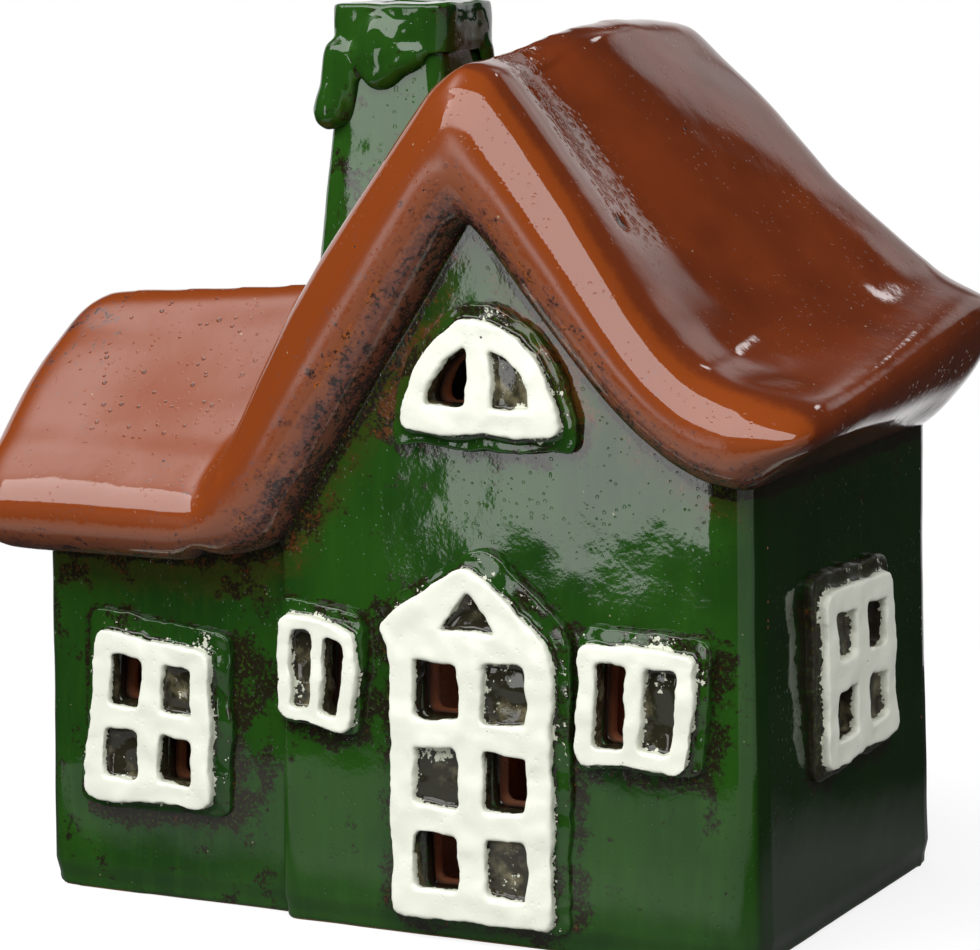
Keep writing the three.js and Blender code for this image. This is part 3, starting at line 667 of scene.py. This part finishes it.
# Painted reflection: which undersides of the rolls take the pale pinkish tint.
UNDERSIDE_SHEEN_UP = (0.15, -0.35)
UNDERSIDE_SHEEN_FACING = (1 / 6, 1 / 2)
NEAR_WALL = (0.016, 0.011)
PLUM_WALL = (0.0125, 0.004)
SOOT_WALL = (0.014, 0.005)
SOOT_SEAM = (0.003, 0.001)
ROOF_ROUGH = 0.06
BROWN_DEEP = (0.09, 0.017, 0.005, 1)
BROWN = (0.15, 0.028, 0.007, 1)
ORANGE = (0.215, 0.043, 0.007, 1)
PAINTED_UNDERSIDE_SHEEN = (0.25, 0.085, 0.044, 1)
PLUM = (0.15, 0.05, 0.033, 1)
SPARK = (0.5, 0.13, 0.012, 1)
SOOT = (0.016, 0.012, 0.011, 1)


def brown_finish():
    material, tree, shader = new_material("brown_glaze")
    glaze = placed(tree, glaze_grain)
    wall, pitted, scarred = measure(tree, "wall"), measure(tree, "pitted"), measure(tree, "scarred")
    colour = tinted(tree, rise(tree, glaze["Cloud"], 0.2, 0.7), BROWN_DEEP, BROWN)
    patchy = times(tree, rise(tree, glaze["Patch"], 0.45, 0.75), 0.15)
    colour = tinted(tree, patchy, colour, ORANGE)
    thin = torn(tree, measure(tree, "thin"), 0.5, 0.5, 0.3)
    colour = tinted(tree, times(tree, thin, 0.9), colour, ORANGE)
    # Painted reflection: undersides of the rolls that turn down and forward get a pale pinkish tint for
    # the light they reflect.
    under = torn(tree, measure(tree, "under"), 0.5, 0.5, 0.1)
    colour = tinted(tree, times(tree, under, 0.75), colour, PAINTED_UNDERSIDE_SHEEN)
    near = rise(tree, wall, *NEAR_WALL)
    inner = times(tree, torn(tree, rise(tree, wall, *PLUM_WALL), 0.42, 2.6, 0.12), near)
    colour = tinted(tree, times(tree, inner, 0.85), colour, PLUM)
    spark = torn(tree, times(tree, measure(tree, "crease"), glaze["Patch"]), 0.62, 1.2)
    colour = tinted(tree, times(tree, spark, 0.6), colour, SPARK)
    black = total(
        tree,
        times(tree, rise(tree, wall, *SOOT_WALL), 0.32),
        times(tree, rise(tree, wall, *SOOT_SEAM), 0.14),
        times(tree, glaze["Patch"], 0.5),
    )
    soot = times(tree, torn(tree, black, 0.57, 1.0, 0.05), rise(tree, glaze["Fleck"], 0.3, 0.5), near)
    colour = tinted(tree, times(tree, soot, 0.9), colour, SOOT)
    place = wire(tree, "TexCoord").outputs["Object"]
    blown = times(tree, spots(tree, place, 0.0016, 0.0004, 0.0001), pitted)
    scars = times(tree, spots(tree, place, 0.0013, 0.0006, 0.0004), scarred)
    # Painted shade: the burst pit is tinted near-black for the shade inside it.
    colour = tinted(tree, measure(tree, "burst"), colour, SOOT)
    holes = math_of(tree, "MAXIMUM", glaze["Pinholes"], times(tree, blown, 0.7))
    colour = tinted(tree, holes, colour, SOOT)
    colour = tinted(tree, times(tree, glaze["Specks"], 0.6), colour, SPECK)
    bare = measure(tree, "bare")
    # Painted shade: the bare underside of the roofs inside the rooms is near-black.
    colour = tinted(tree, bare, colour, PAINTED_INSIDE_SHADE)
    tree.links.new(colour, shader.inputs["Base Color"])
    rough = total(
        tree,
        ROOF_ROUGH,
        times(tree, measure(tree, "satin"), 0.17),
        times(tree, measure(tree, "matted"), 0.2),
        times(tree, bare, 0.7),
    )
    tree.links.new(rough, shader.inputs["Roughness"])
    height = total(
        tree,
        times(tree, glaze["Peel"], 0.2),
        times(tree, glaze["Patch"], 0.22),
        times(tree, glaze["Fleck"], 0.02),
        times(tree, glaze["Pinholes"], -0.5),
        times(tree, glaze["Pits"], -0.3),
        times(tree, blown, -1.0),
        times(tree, scars, -2.5),
        times(tree, scarred, glaze["Patch"], 0.6),
        times(tree, soot, glaze["Fleck"], 0.2),
    )
    bumped(tree, shader, height, *GLAZE_BUMP)
    return material


brown_material = brown_finish()


def away_from(points, place):
    return np.linalg.norm(points - np.array(place, np.float32), axis=1)


def bell(values, width):
    return np.exp(-((values / width) ** 2))


def rubbed(piece, share, rounds):
    """Rubs the skin round where the share is above 0, by drawing points to their neighbours' middle."""
    points, ends = points_of(piece), edges_of(piece)
    ends = ends[(share[ends] > 0).any(1)].T
    count = np.maximum(from_neighbours(ends, np.ones(len(points))), 1)
    for _ in range(rounds):
        for i in range(3):
            middle = from_neighbours(ends, points[:, i]) / count
            points[:, i] += 0.5 * share * (middle - points[:, i])
    return reshaped(piece, points)


def sagged(piece):
    """Pats the front rolls flat, sinks the slab behind the right one and thins the right eave."""
    points, facing = points_of(piece), normals_of(piece)
    behind = points[:, 1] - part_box("main_roof")[0].y
    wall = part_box("right_wall")[1].x
    right = ramp(facing[:, 0], *SLOPE_RIGHT) * ramp(facing[:, 2], *SLOPE_UP)
    right *= 1 + VALLEY_UNEVEN * np.array([noise.noise(Vector(point) / VALLEY_GRAIN) for point in points])
    valley = bell(behind - VALLEY_PLACE, VALLEY_WIDTH) * right * ramp(points[:, 2], *VALLEY_FOOT)
    lean = np.arccos(np.clip(-facing[:, 1], -1, 1))
    facet = bell(lean - FACET_LEAN, FACET_SPREAD) * ramp(facing[:, 2], *FACET_UP)
    facet *= np.where(points[:, 0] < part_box("left_wall")[0].x - FACET_SEAM, FACET_ANNEX, 1)
    burst = bell(away_from(points, BURST), BURST_REACH)
    crown = bell(away_from(points, CROWN_PLACE), CROWN_REACH)
    lift = ramp(points[:, 0], wall, wall + EAVE_SPAN) * ramp(-facing[:, 2], 0, 1)
    points -= facing * (VALLEY_DEPTH * valley + FACET_DEPTH * facet + BURST_DEPTH * burst)[:, None]
    points += facing * (CROWN * crown)[:, None]
    points[:, 2] += EAVE_LIFT * lift
    return rubbed(reshaped(piece, points), ramp(points[:, 0], wall, wall + EAVE_SPAN), EAVE_ROUNDS)


roof = slabs("roofs", *ROOFS)
roof = worked(roof, ROOF_VOXEL, ROOF_RUBS, [(thumb_dents, ROOF_THUMB), (finger_dents, ROOF_FINGER)])
roof = sagged(roof)
corners, facing = points_of(roof), normals_of(roof)
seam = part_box("left_wall")[0].x
forward, upward, height = -facing[:, 1], facing[:, 2], corners[:, 2]
behind = corners[:, 1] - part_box("main_roof")[0].y
to_wall = distance_to(roof, WALLS)
annexed = np.minimum(ramp(seam - corners[:, 0], 0, THIN_SEAM), THIN_ANNEX)
rolled = ramp(forward, *ROLLED_FACING) * ramp(behind, *ROLLED_BEHIND)
scars_along = ramp(height, *SCARS_HEIGHT) * ramp(facing[:, 0], *SCARS_FACING)
matted_along = ramp(height, *MATTED_TOP) * ramp(height, *MATTED_FOOT) * ramp(upward, *MATTED_UP)
crease = ramp(np.abs(to_wall - CREASE_PLACE), *CREASE_ACROSS) * ramp(forward, *CREASE_FACING)
mark(roof, "satin", ramp(forward, *SATIN_FACING))
mark(roof, "thin", np.maximum(annexed, rolled))
# Painted shade in the burst pit, darkest within half its reach.
mark(roof, "burst", ramp(away_from(corners, BURST), BURST_REACH, BURST_REACH / 2))
mark(roof, "scarred", ramp(np.abs(behind - SCARS_PLACE), *SCARS_ACROSS) * scars_along)
mark(roof, "matted", ramp(np.abs(behind - MATTED_PLACE), *MATTED_ACROSS) * matted_along)
mark(roof, "wall", to_wall)
mark(roof, "crease", np.where(corners[:, 0] > seam - CREASE_SEAM, crease, 0.0))
# Painted reflection on the undersides of the rolls.
mark(roof, "under", ramp(upward, *UNDERSIDE_SHEEN_UP) * ramp(forward, *UNDERSIDE_SHEEN_FACING))
mark(roof, "bare", np.where(inside_rooms(corners, ROOM_DEPTH) & (upward < 0), 1.0, 0.0))
mark(roof, "pitted", ramp(away_from(corners, PITTED), PITTED_REACH, PITTED_REACH / 2))
for node, slab in parted(roof, ROOFS, "_glazed", (brown_material, clay_material)).items():
    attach(slab, "house")
    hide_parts(node)


# Chimney. A square stack that widens to its foot on the main roof, open through to the room, with
# a collar of soft clay pressed over its top so that it hangs down in drips. Green glaze, as the walls.
CHIMNEY_VOXEL = 0.0004
STACK_SINK = (0, 0, -0.002)
STACK_TURN = math.radians(3.2)
STACK_RUBS = 6
STACK_THUMB = 0.0004
STACK_FINGER = 0.0001
COLLAR_RUBS = 16
COLLAR_FINGER = 0.0008
COLLAR_LUMPS = (
    ((-0.0305, -0.0192, 0.1355), (0.0046, 0.0026, 0.0062)),
    ((-0.0368, -0.0192, 0.1305), (0.0024, 0.0022, 0.0070)),
    ((-0.0262, -0.0185, 0.1385), (0.0040, 0.0020, 0.0034)),
)
CHIMNEY_CLEAR = 0.004
CHIMNEY_RUN = 0.3


def lumped(piece, *lumps):
    """Presses lumps of soft clay onto the piece, each given by its middle and its reach."""
    shape = bmesh.new()
    shape.from_mesh(piece.data)
    for middle, reach in lumps:
        sized = Matrix.Translation(middle) @ Matrix.Diagonal((*reach, 1))
        bmesh.ops.create_icosphere(shape, subdivisions=3, radius=1, matrix=sized)
    shape.to_mesh(piece.data)
    shape.free()
    return piece


def mark_all(piece, **values):
    """Gives every point of the piece the same marks."""
    for name, value in values.items():
        mark(piece, name, np.full(len(piece.data.vertices), float(value)))


stack = sunk(slabs("chimney_stack_glazed", "chimney_stack"), ROOFS, STACK_SINK)
stack_dents = [(thumb_dents, STACK_THUMB), (finger_dents, STACK_FINGER)]
stack = worked(stack, CHIMNEY_VOXEL, STACK_RUBS, stack_dents)
collar = lumped(slabs("chimney_collar_glazed", "chimney_collar"), *COLLAR_LUMPS)
collar = worked(collar, CHIMNEY_VOXEL, COLLAR_RUBS, [(finger_dents, COLLAR_FINGER)])
low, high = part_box("chimney_stack")
axis = Matrix.Translation(((low.x + high.x) / 2, (low.y + high.y) / 2, 0))
askew = axis @ Matrix.Rotation(STACK_TURN, 4, "Z") @ axis.inverted()
for node, piece, neighbour in (
    ("chimney_stack", stack, "chimney_collar"),
    ("chimney_collar", collar, "chimney_stack"),
):
    piece.data.transform(askew)
    mark(piece, "eave", distance_to(piece, ROOFS))
    mark(piece, "beside", CHIMNEY_CLEAR + distance_to(piece, (neighbour,)))
    mark(piece, "bend", bend_of(piece))
    # Painted shade on the chimney's sides that turn away from the light.
    mark(piece, "shady", painted_shade_of(piece))
    mark_all(piece, bare=0, sooted=0, run=CHIMNEY_RUN)
    piece.data.materials.append(green_material)
    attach(piece, "house")
    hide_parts(node)


# Door and windows. Plaques of clay pressed on the walls, with ribs between their panes. The ribs
# have a thick white glaze, trailed on by hand, that ends in a torn edge on their flanks; the blind
# panes stay dark, and others are cut through to let the light out.
PLAQUE_VOXEL = 0.0003
PLAQUE_RUBS = 9
PLAQUE_FINGER = 0.0008
PLAQUE_SINK = 0.0009
WOBBLE = ((0.007, 0.0006), (0.0024, 0.00024), (0.0011, 0.00012))
WOBBLE_SEED = 7
WHITE_FROM = 0.0023
WHITE_THICK = (0.0024, 0.0031)
WHITE_WORN = (-0.06, -0.24)
WHITE_BUMP = (0.5, 0.0002)
PANE_WITHIN = (0.0006, 0.0014)
FRONT_MARKS = {"beside": 0.0034, "run": 0.35, "dull": 0}
# Painted shade: the side window, on the right wall, takes more pooled and olive glaze than the front
# ones, to darken it with that side.
SHADED_SIDE_MARKS = {"beside": 0.001, "run": 1, "dull": 0.35}
WHITE = (0.84, 0.86, 0.745, 1)
WHITE_THIN = (0.6, 0.62, 0.5, 1)
PANE = (0.022, 0.017, 0.011, 1)
PANE_PALE = (0.2, 0.175, 0.1, 1)


def white_finish():
    material, tree, shader = new_material("white_glaze")
    colour, rough, height = green_colour(tree)
    glaze = placed(tree, glaze_grain)
    proud = times(tree, measure(tree, "proud"), 1000.0)
    pane = times(tree, rise(tree, measure(tree, "within"), *PANE_WITHIN), 0.93)
    dark = tinted(tree, rise(tree, glaze["Patch"], 0.48, 0.72), PANE, PANE_PALE)
    colour = tinted(tree, pane, colour, dark)
    solid = math_of(tree, "SUBTRACT", 1.0, glaze["Pinholes"])
    worn = times(tree, rise(tree, measure(tree, "bend"), *WHITE_WORN), -0.75)
    white = times(tree, torn(tree, total(tree, proud, worn), 1000 * WHITE_FROM, 2.2), solid)
    thick = rise(tree, proud, *(1000 * level for level in WHITE_THICK))
    colour = tinted(tree, white, colour, tinted(tree, thick, WHITE_THIN, WHITE))
    tree.links.new(colour, shader.inputs["Base Color"])
    rough = total(tree, times(tree, white, 0.2), rough, measure(tree, "dull"))
    tree.links.new(rough, shader.inputs["Roughness"])
    bumped(tree, shader, total(tree, height, times(tree, white, 1.2)), *WHITE_BUMP)
    return material


white_material = white_finish()


def wobbled(plaque, out):
    """Shifts the pressed clay across the wall, so that no rib or pane stays straight."""
    for vert in plaque.data.vertices:
        shift = Vector((0, 0, 0))
        for size, amount in WOBBLE:
            shift += amount * noise.noise_vector(vert.co / size)
        vert.co += shift - shift.dot(out) * out
    plaque.data.update()
    return plaque


def depth_within(plaque, out, ribs):
    """How far each point lies inside the hull of the ribs, seen square to the wall."""
    across = Vector((0, 0, 1)).cross(out)
    flat = points_of(plaque) @ np.array([across, (0, 0, 1)], np.float32).T
    rim = flat[ribs][geometry.convex_hull_2d(flat[ribs].tolist())]
    depth = np.full(len(flat), 1.0, np.float32)
    for start, end in zip(rim, np.roll(rim, -1, axis=0)):
        side = (end - start) / max(np.linalg.norm(end - start), 1e-9)
        depth = np.minimum(depth, (flat - start) @ np.array([-side[1], side[0]], np.float32))
    return depth


noise.seed_set(WOBBLE_SEED)
for node, wall, out, marks in (
    ("front_door", "front_wall", (0, -1, 0), FRONT_MARKS),
    ("gable_window", "front_wall", (0, -1, 0), FRONT_MARKS),
    ("front_left_window", "front_wall", (0, -1, 0), FRONT_MARKS),
    ("front_right_window", "front_wall", (0, -1, 0), FRONT_MARKS),
    ("annex_window", "annex_front_wall", (0, -1, 0), FRONT_MARKS),
    ("side_window", "right_wall", (1, 0, 0), SHADED_SIDE_MARKS),
):
    out = Vector(out)
    face = max(corner.dot(out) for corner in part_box(wall))
    plaque = slabs(node + "_glazed", node)
    for vert in plaque.data.vertices:
        if vert.co.dot(out) - face < TOUCHING:
            vert.co -= PLAQUE_SINK * out
    plaque = worked(plaque, PLAQUE_VOXEL, PLAQUE_RUBS, [(finger_dents, PLAQUE_FINGER)])
    plaque = wobbled(plaque, out)
    proud = points_of(plaque) @ np.array(out, np.float32) - face
    mark(plaque, "proud", proud)
    mark(plaque, "within", depth_within(plaque, out, proud > WHITE_FROM))
    mark(plaque, "eave", distance_to(plaque, ROOFS))
    mark(plaque, "bend", bend_of(plaque))
    mark_all(plaque, bare=0, sooted=0, shady=0, **marks)
    plaque.data.materials.append(white_material)
    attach(plaque, "house")
    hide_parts(node)


# Tealight. A pressed aluminium cup with a fluted foot and a rolled lip, filled with wax round a
# cotton wick that a small metal tab holds upright. It slides out through the arch at the back.
CUP_FLUTES = 48
CUP_FLUTE = 0.00022
CUP_FOOT = 0.001
CUP_FOOT_TURN = (0.0008, 0.0005)
CUP_RIM = 0.002
CUP_LIP = 0.0005
CUP_BEAD = 0.0003
CUP_BEAD_FROM = (0.0016, 0.001)
CUP_BEAD_IN = 0.0002
WAX_STEPS = 64
WAX_GAP = 0.0001
WAX_SINK = 0.0006
WAX_RIM = 0.0004
WAX_MENISCUS = 0.002
WAX_DISH = (0.004, 0.0002)
WAX_CLIMB = (0.0014, 0.0004)
WICK_STEPS = 14
WICK_TWIST = 2.1
WICK_TWIST_DEPTH = 0.18
WICK_TIP = 0.0003
TAB_STEPS = 32
TAB_EDGE = 0.0006
TAB_GAUGE = 0.0002
TAB_CRIMP = (0.0016, 0.0012)
FLECK_BUMP = (0.2, 0.0002)
WAX_WHITE = (0.88, 0.86, 0.79, 1)
WAX_DEEP = (0.8, 0.76, 0.66, 1)
FOIL = (0.8, 0.81, 0.83, 1)
FOIL_DULL = (0.62, 0.63, 0.65, 1)
COTTON = (0.72, 0.68, 0.58, 1)
CHAR = (0.03, 0.025, 0.02, 1)


def turned(name, profile, steps):
    """A profile of radius and height spun round the upright axis into a closed body."""
    shape = bmesh.new()
    corners = [shape.verts.new((radius, 0, height)) for radius, height in profile]
    edges = [shape.edges.new(pair) for pair in zip(corners, corners[1:])]
    bmesh.ops.spin(
        shape, geom=corners + edges, cent=(0, 0, 0), axis=(0, 0, 1), angle=2 * math.pi,
        steps=steps, use_merge=True,
    )
    bmesh.ops.remove_doubles(shape, verts=shape.verts, dist=WELD)
    bmesh.ops.recalc_face_normals(shape, faces=shape.faces)
    for face in shape.faces:
        face.smooth = True
    return set_down(name, shape)


def flecked_finish(name, base, over, size, metallic, rough):
    """Plain material of two colours in fine flecks."""
    material, tree, shader = new_material(name)
    fleck = grain(tree, wire(tree, "TexCoord").outputs["Object"], size, 3, 0.6)
    tree.links.new(tinted(tree, rise(tree, fleck, 0.4, 0.7), base, over), shader.inputs["Base Color"])
    shader.inputs["Metallic"].default_value = metallic
    tree.links.new(total(tree, rough, times(tree, fleck, 0.15)), shader.inputs["Roughness"])
    bumped(tree, shader, fleck, *FLECK_BUMP)
    return material


foil = flecked_finish("cup_metal", FOIL, FOIL_DULL, size=0.002, metallic=1.0, rough=0.25)
wax = flecked_finish("wax", WAX_WHITE, WAX_DEEP, size=0.004, metallic=0.0, rough=0.38)
cotton = flecked_finish("wick_cotton", COTTON, CHAR, size=0.0015, metallic=0.0, rough=0.85)

low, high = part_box("tealight_cup")
cup_radius, foot, lip = (high.x - low.x) / 2, low.z, high.z
inside = cup_radius - 2 * CUP_LIP
cup = turned(
    "tealight_cup_metal",
    [
        (0, foot),
        (cup_radius - CUP_FOOT_TURN[0], foot),
        (cup_radius - CUP_BEAD, foot + CUP_FOOT_TURN[1]),
        (cup_radius - CUP_LIP, lip - CUP_BEAD_FROM[0]),
        (cup_radius, lip - CUP_BEAD_FROM[1]),
        (cup_radius, lip - CUP_BEAD),
        (cup_radius - CUP_BEAD, lip),
        (inside, lip - CUP_BEAD_IN),
        (inside, foot + CUP_LIP),
        (0, foot + CUP_LIP),
    ],
    4 * CUP_FLUTES,
)
for vert in cup.data.vertices:
    radius = math.hypot(vert.co.x, vert.co.y)
    if vert.co.z < foot + CUP_FOOT and radius >= cup_radius - CUP_RIM:
        turn = math.atan2(vert.co.y, vert.co.x) * CUP_FLUTES
        shrink = 1 - CUP_FLUTE * (1 + math.cos(turn)) / (2 * radius)
        vert.co.x *= shrink
        vert.co.y *= shrink
wax_low, wax_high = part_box("tealight_wax")
melt = wax_high.z - WAX_SINK
wax_piece = turned(
    "tealight_wax_filling",
    [
        (0, wax_low.z),
        (inside - WAX_GAP, wax_low.z),
        (inside - WAX_GAP, wax_high.z),
        (inside - WAX_SINK, wax_high.z - WAX_RIM),
        (inside - WAX_MENISCUS, melt),
        (WAX_DISH[0], melt - WAX_DISH[1]),
        (WAX_CLIMB[0], melt),
        (0, melt + WAX_CLIMB[1]),
    ],
    WAX_STEPS,
)
wick_low, wick_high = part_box("tealight_wick")
wick_radius, wick_length = (wick_high.x - wick_low.x) / 2, wick_high.z - wick_low.z
twisted = []
for step in range(WICK_STEPS):
    twist = 1 - WICK_TWIST_DEPTH * (1 - math.cos(step * WICK_TWIST))
    twisted.append((wick_radius * twist, wick_low.z + wick_length * step / WICK_STEPS))
wick_piece = turned(
    "tealight_wick_cotton",
    [(0, wick_low.z), *twisted, (wick_radius / 2, wick_high.z - WICK_TIP), (0, wick_high.z)],
    WICK_STEPS,
)
tab_low, tab_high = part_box("wick_tab")
tab_radius = (tab_high.x - tab_low.x) / 2
tab_piece = turned(
    "wick_tab_metal",
    [
        (0, tab_low.z),
        (tab_radius, tab_low.z),
        (tab_radius, tab_high.z - TAB_GAUGE),
        (tab_radius - TAB_EDGE, tab_high.z),
        (TAB_CRIMP[0], tab_high.z),
        (TAB_CRIMP[1], tab_high.z + TAB_GAUGE),
        (0, tab_high.z + TAB_GAUGE),
    ],
    TAB_STEPS,
)
for node, piece, material, slot in (
    ("tealight_cup", cup, foil, "cup_metal"),
    ("tealight_wax", wax_piece, wax, "wax"),
    ("tealight_wick", wick_piece, cotton, "wick_cotton"),
    ("wick_tab", tab_piece, foil, "cup_metal"),
):
    low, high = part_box(node)
    piece.data.transform(Matrix.Translation(((low.x + high.x) / 2, (low.y + high.y) / 2, 0)))
    piece.data.materials.append(material)
    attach(piece, "tealight")
    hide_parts(node)


# Table. A round sheet of pale card under the house, white as far as the camera sees, that keeps the
# house's soft shadow. A band of it in front of the house is bright enough to show in the low glaze.
TABLE_REACH = 0.2
TABLE_FADE = (0.06, 0.12)
TABLE_ROUGH = 0.9
TABLE_GLOW = 0.78
TABLE_BAND = ((-0.06, -0.08), (-0.175, -0.155))
TABLE_BAND_GLOW = 0.5
TABLE_PALE = (0.22, 0.22, 0.22, 1)
TABLE_DIM = (0.03, 0.03, 0.03, 1)
shape = bmesh.new()
bmesh.ops.create_circle(shape, cap_ends=True, segments=96, radius=TABLE_REACH)
table = set_down("table", shape)
table_material, tree, shader = new_material("table_white")
path = wire(tree, "LightPath").outputs
place = wire(tree, "TexCoord").outputs["Object"]
away = wire(tree, "VectorMath", {0: place}, operation="LENGTH").outputs["Value"]
outward = rise(tree, away, *TABLE_FADE)
tree.links.new(tinted(tree, outward, TABLE_PALE, TABLE_DIM), shader.inputs["Base Color"])
shader.inputs["Roughness"].default_value = TABLE_ROUGH
shader.inputs["Specular IOR Level"].default_value = 0.0
shader.inputs["Emission Color"].default_value = (1, 1, 1, 1)
glow = total(tree, TABLE_GLOW, times(tree, outward, 1 - TABLE_GLOW))
depth = wire(tree, "SeparateXYZ", {0: place}).outputs[1]
band = times(tree, *(rise(tree, depth, *edge) for edge in TABLE_BAND))
shown = times(tree, path["Is Camera Ray"], glow)
shown = total(tree, shown, times(tree, path["Is Glossy Ray"], band, TABLE_BAND_GLOW))
tree.links.new(shown, shader.inputs["Emission Strength"])
table.data.materials.append(table_material)


# Studio. A strip over the front, a narrow panel low on the left and a card on the right light the
# house. Behind it hangs a white backdrop, and dim light fills in from all round. Four soft lamps
# far off, one high on the left and three behind, give the sheen on the roofs.
BACKDROP = Vector((-0.448, 0.88, 0.0)).normalized()
BACKDROP_EDGE = 0.93
BACKDROP_WIDER = 0.21
BACKDROP_SOFT = 0.09
BACKDROP_TOP = (0.42, 0.28)
HORIZON = (-0.1, 0.0)
FILL = 0.36
FILL_BEHIND = 0.6
DIM = 0.025
CENTRE = Vector((-0.02, 0.0, 0.06))
FRONT_WALL = Vector((0.012, -0.0375, 0.065))
# Each lamp's azimuth, elevation and roll, half width and half height, all in degrees, then how
# crisp its edge is and its radiance.
LAMPS = (
    ((-71, 53, 0), (13, 13), 1, 3.3),
    ((176, 37.6, -20), (4.2, 1.2), 3, 4.5),
    ((172, 26, 0), (9.5, 6.5), 3, 0.8),
    ((-173, 30, 0), (4.5, 4.5), 1, 0.7),
)


def soft_box(name, azimuth, elevation, distance, size, radiance, aim=CENTRE):
    """Area lamp seen from its aim at this azimuth, right of the front, and this elevation."""
    lamp = bpy.data.lights.new(name, "AREA")
    lamp.shape = "RECTANGLE"
    lamp.size, lamp.size_y = size
    lamp.energy = radiance * math.pi * size[0] * size[1]
    box = bpy.data.objects.new(name, lamp)
    turn = Matrix.Rotation(math.radians(azimuth), 4, "Z")
    turn = turn @ Matrix.Rotation(math.radians(90 - elevation), 4, "X")
    box.matrix_world = Matrix.Translation(aim + (turn @ Vector((0, 0, distance)))) @ turn
    bpy.context.scene.collection.objects.link(box)


soft_box("panel_low", -24.9, 4.55, distance=0.414, size=(0.075, 0.223), radiance=3.7, aim=FRONT_WALL)
soft_box("strip_front", 0, 47, distance=0.7, size=(1.3, 0.36), radiance=5.0)
soft_box("card_right", 66, 0, distance=0.7, size=(0.9, 0.4), radiance=0.5)

world = bpy.data.worlds.new("studio")
bpy.context.scene.world = world
world.use_nodes = True
tree = world.node_tree
tree.nodes.clear()
path = wire(tree, "LightPath").outputs
toward = wire(tree, "TexCoord").outputs["Generated"]


def along(direction):
    """How far the ray points this way."""
    return wire(tree, "VectorMath", {0: toward, 1: direction}, operation="DOT_PRODUCT").outputs["Value"]


def lamp_glow(azimuth, elevation, roll, half_width, half_height, crispness):
    """Glow of an oval lamp: 1 at its middle, falling off towards its edge."""
    turn = Matrix.Rotation(math.radians(azimuth), 3, "Z")
    turn = turn @ Matrix.Rotation(math.radians(-elevation), 3, "X")
    turn = turn @ Matrix.Rotation(math.radians(-roll), 3, "Y")
    ahead, across, upright = (along(turn @ Vector(side)) for side in ((0, -1, 0), (1, 0, 0), (0, 0, 1)))
    wide = math_of(tree, "POWER", math_of(tree, "DIVIDE", across, math.radians(half_width)), 2.0)
    tall = math_of(tree, "POWER", math_of(tree, "DIVIDE", upright, math.radians(half_height)), 2.0)
    fall = math_of(tree, "POWER", total(tree, wide, tall), float(crispness))
    return times(tree, math_of(tree, "EXPONENT", times(tree, fall, -1.0)), rise(tree, ahead, 0.0, 0.2))


behind = along(BACKDROP)
height = wire(tree, "SeparateXYZ", {0: toward}).outputs[2]
edge = total(tree, BACKDROP_EDGE, times(tree, rise(tree, height, *HORIZON), -BACKDROP_WIDER))
backdrop = rise(tree, behind, total(tree, edge, -BACKDROP_SOFT), edge)
backdrop = times(tree, backdrop, rise(tree, height, *BACKDROP_TOP))
mirrored = math_of(tree, "MAXIMUM", path["Is Glossy Ray"], path["Is Transmission Ray"])
white = math_of(tree, "MAXIMUM", path["Is Camera Ray"], times(tree, mirrored, backdrop))
fill = total(tree, FILL, times(tree, rise(tree, behind, 0.0, 0.9), FILL_BEHIND))
fill = math_of(tree, "MAXIMUM", times(tree, path["Is Diffuse Ray"], fill), DIM)
strength = math_of(tree, "MAXIMUM", white, fill)
unseen = math_of(tree, "SUBTRACT", 1.0, path["Is Camera Ray"])
for place, size, crispness, radiance in LAMPS:
    strength = total(tree, strength, times(tree, lamp_glow(*place, *size, crispness), unseen, radiance))
background = wire(tree, "Background", {"Color": (1, 1, 1, 1), "Strength": strength})
tree.links.new(background.outputs[0], wire(tree, "OutputWorld").inputs[0])


# Camera. A long lens well to the right of the front door and a little higher than the chimney,
# looking down on the house and rolled by a hair.
AZIMUTH, ELEVATION, ROLL = (math.radians(angle) for angle in (27, 9, -0.848))
TARGET = Vector((-0.02103, -0.0015, 0.06664))
DISTANCE = 0.63007
SENSOR = 36
FOCAL_LENGTH = 143.265
NEAREST = 0.01
lens = bpy.data.cameras.new("camera")
lens.sensor_width = SENSOR
lens.lens = FOCAL_LENGTH
lens.clip_start = NEAREST
camera = bpy.data.objects.new("camera", lens)
turn = Matrix.Rotation(AZIMUTH, 4, "Z") @ Matrix.Rotation(math.pi / 2 - ELEVATION, 4, "X")
stand = Matrix.Translation(TARGET + turn @ Vector((0, 0, DISTANCE)))
camera.matrix_world = stand @ turn @ Matrix.Rotation(ROLL, 4, "Z")
bpy.context.scene.collection.objects.link(camera)
bpy.context.scene.camera = camera
bpy.context.scene.view_settings.view_transform = "Standard"
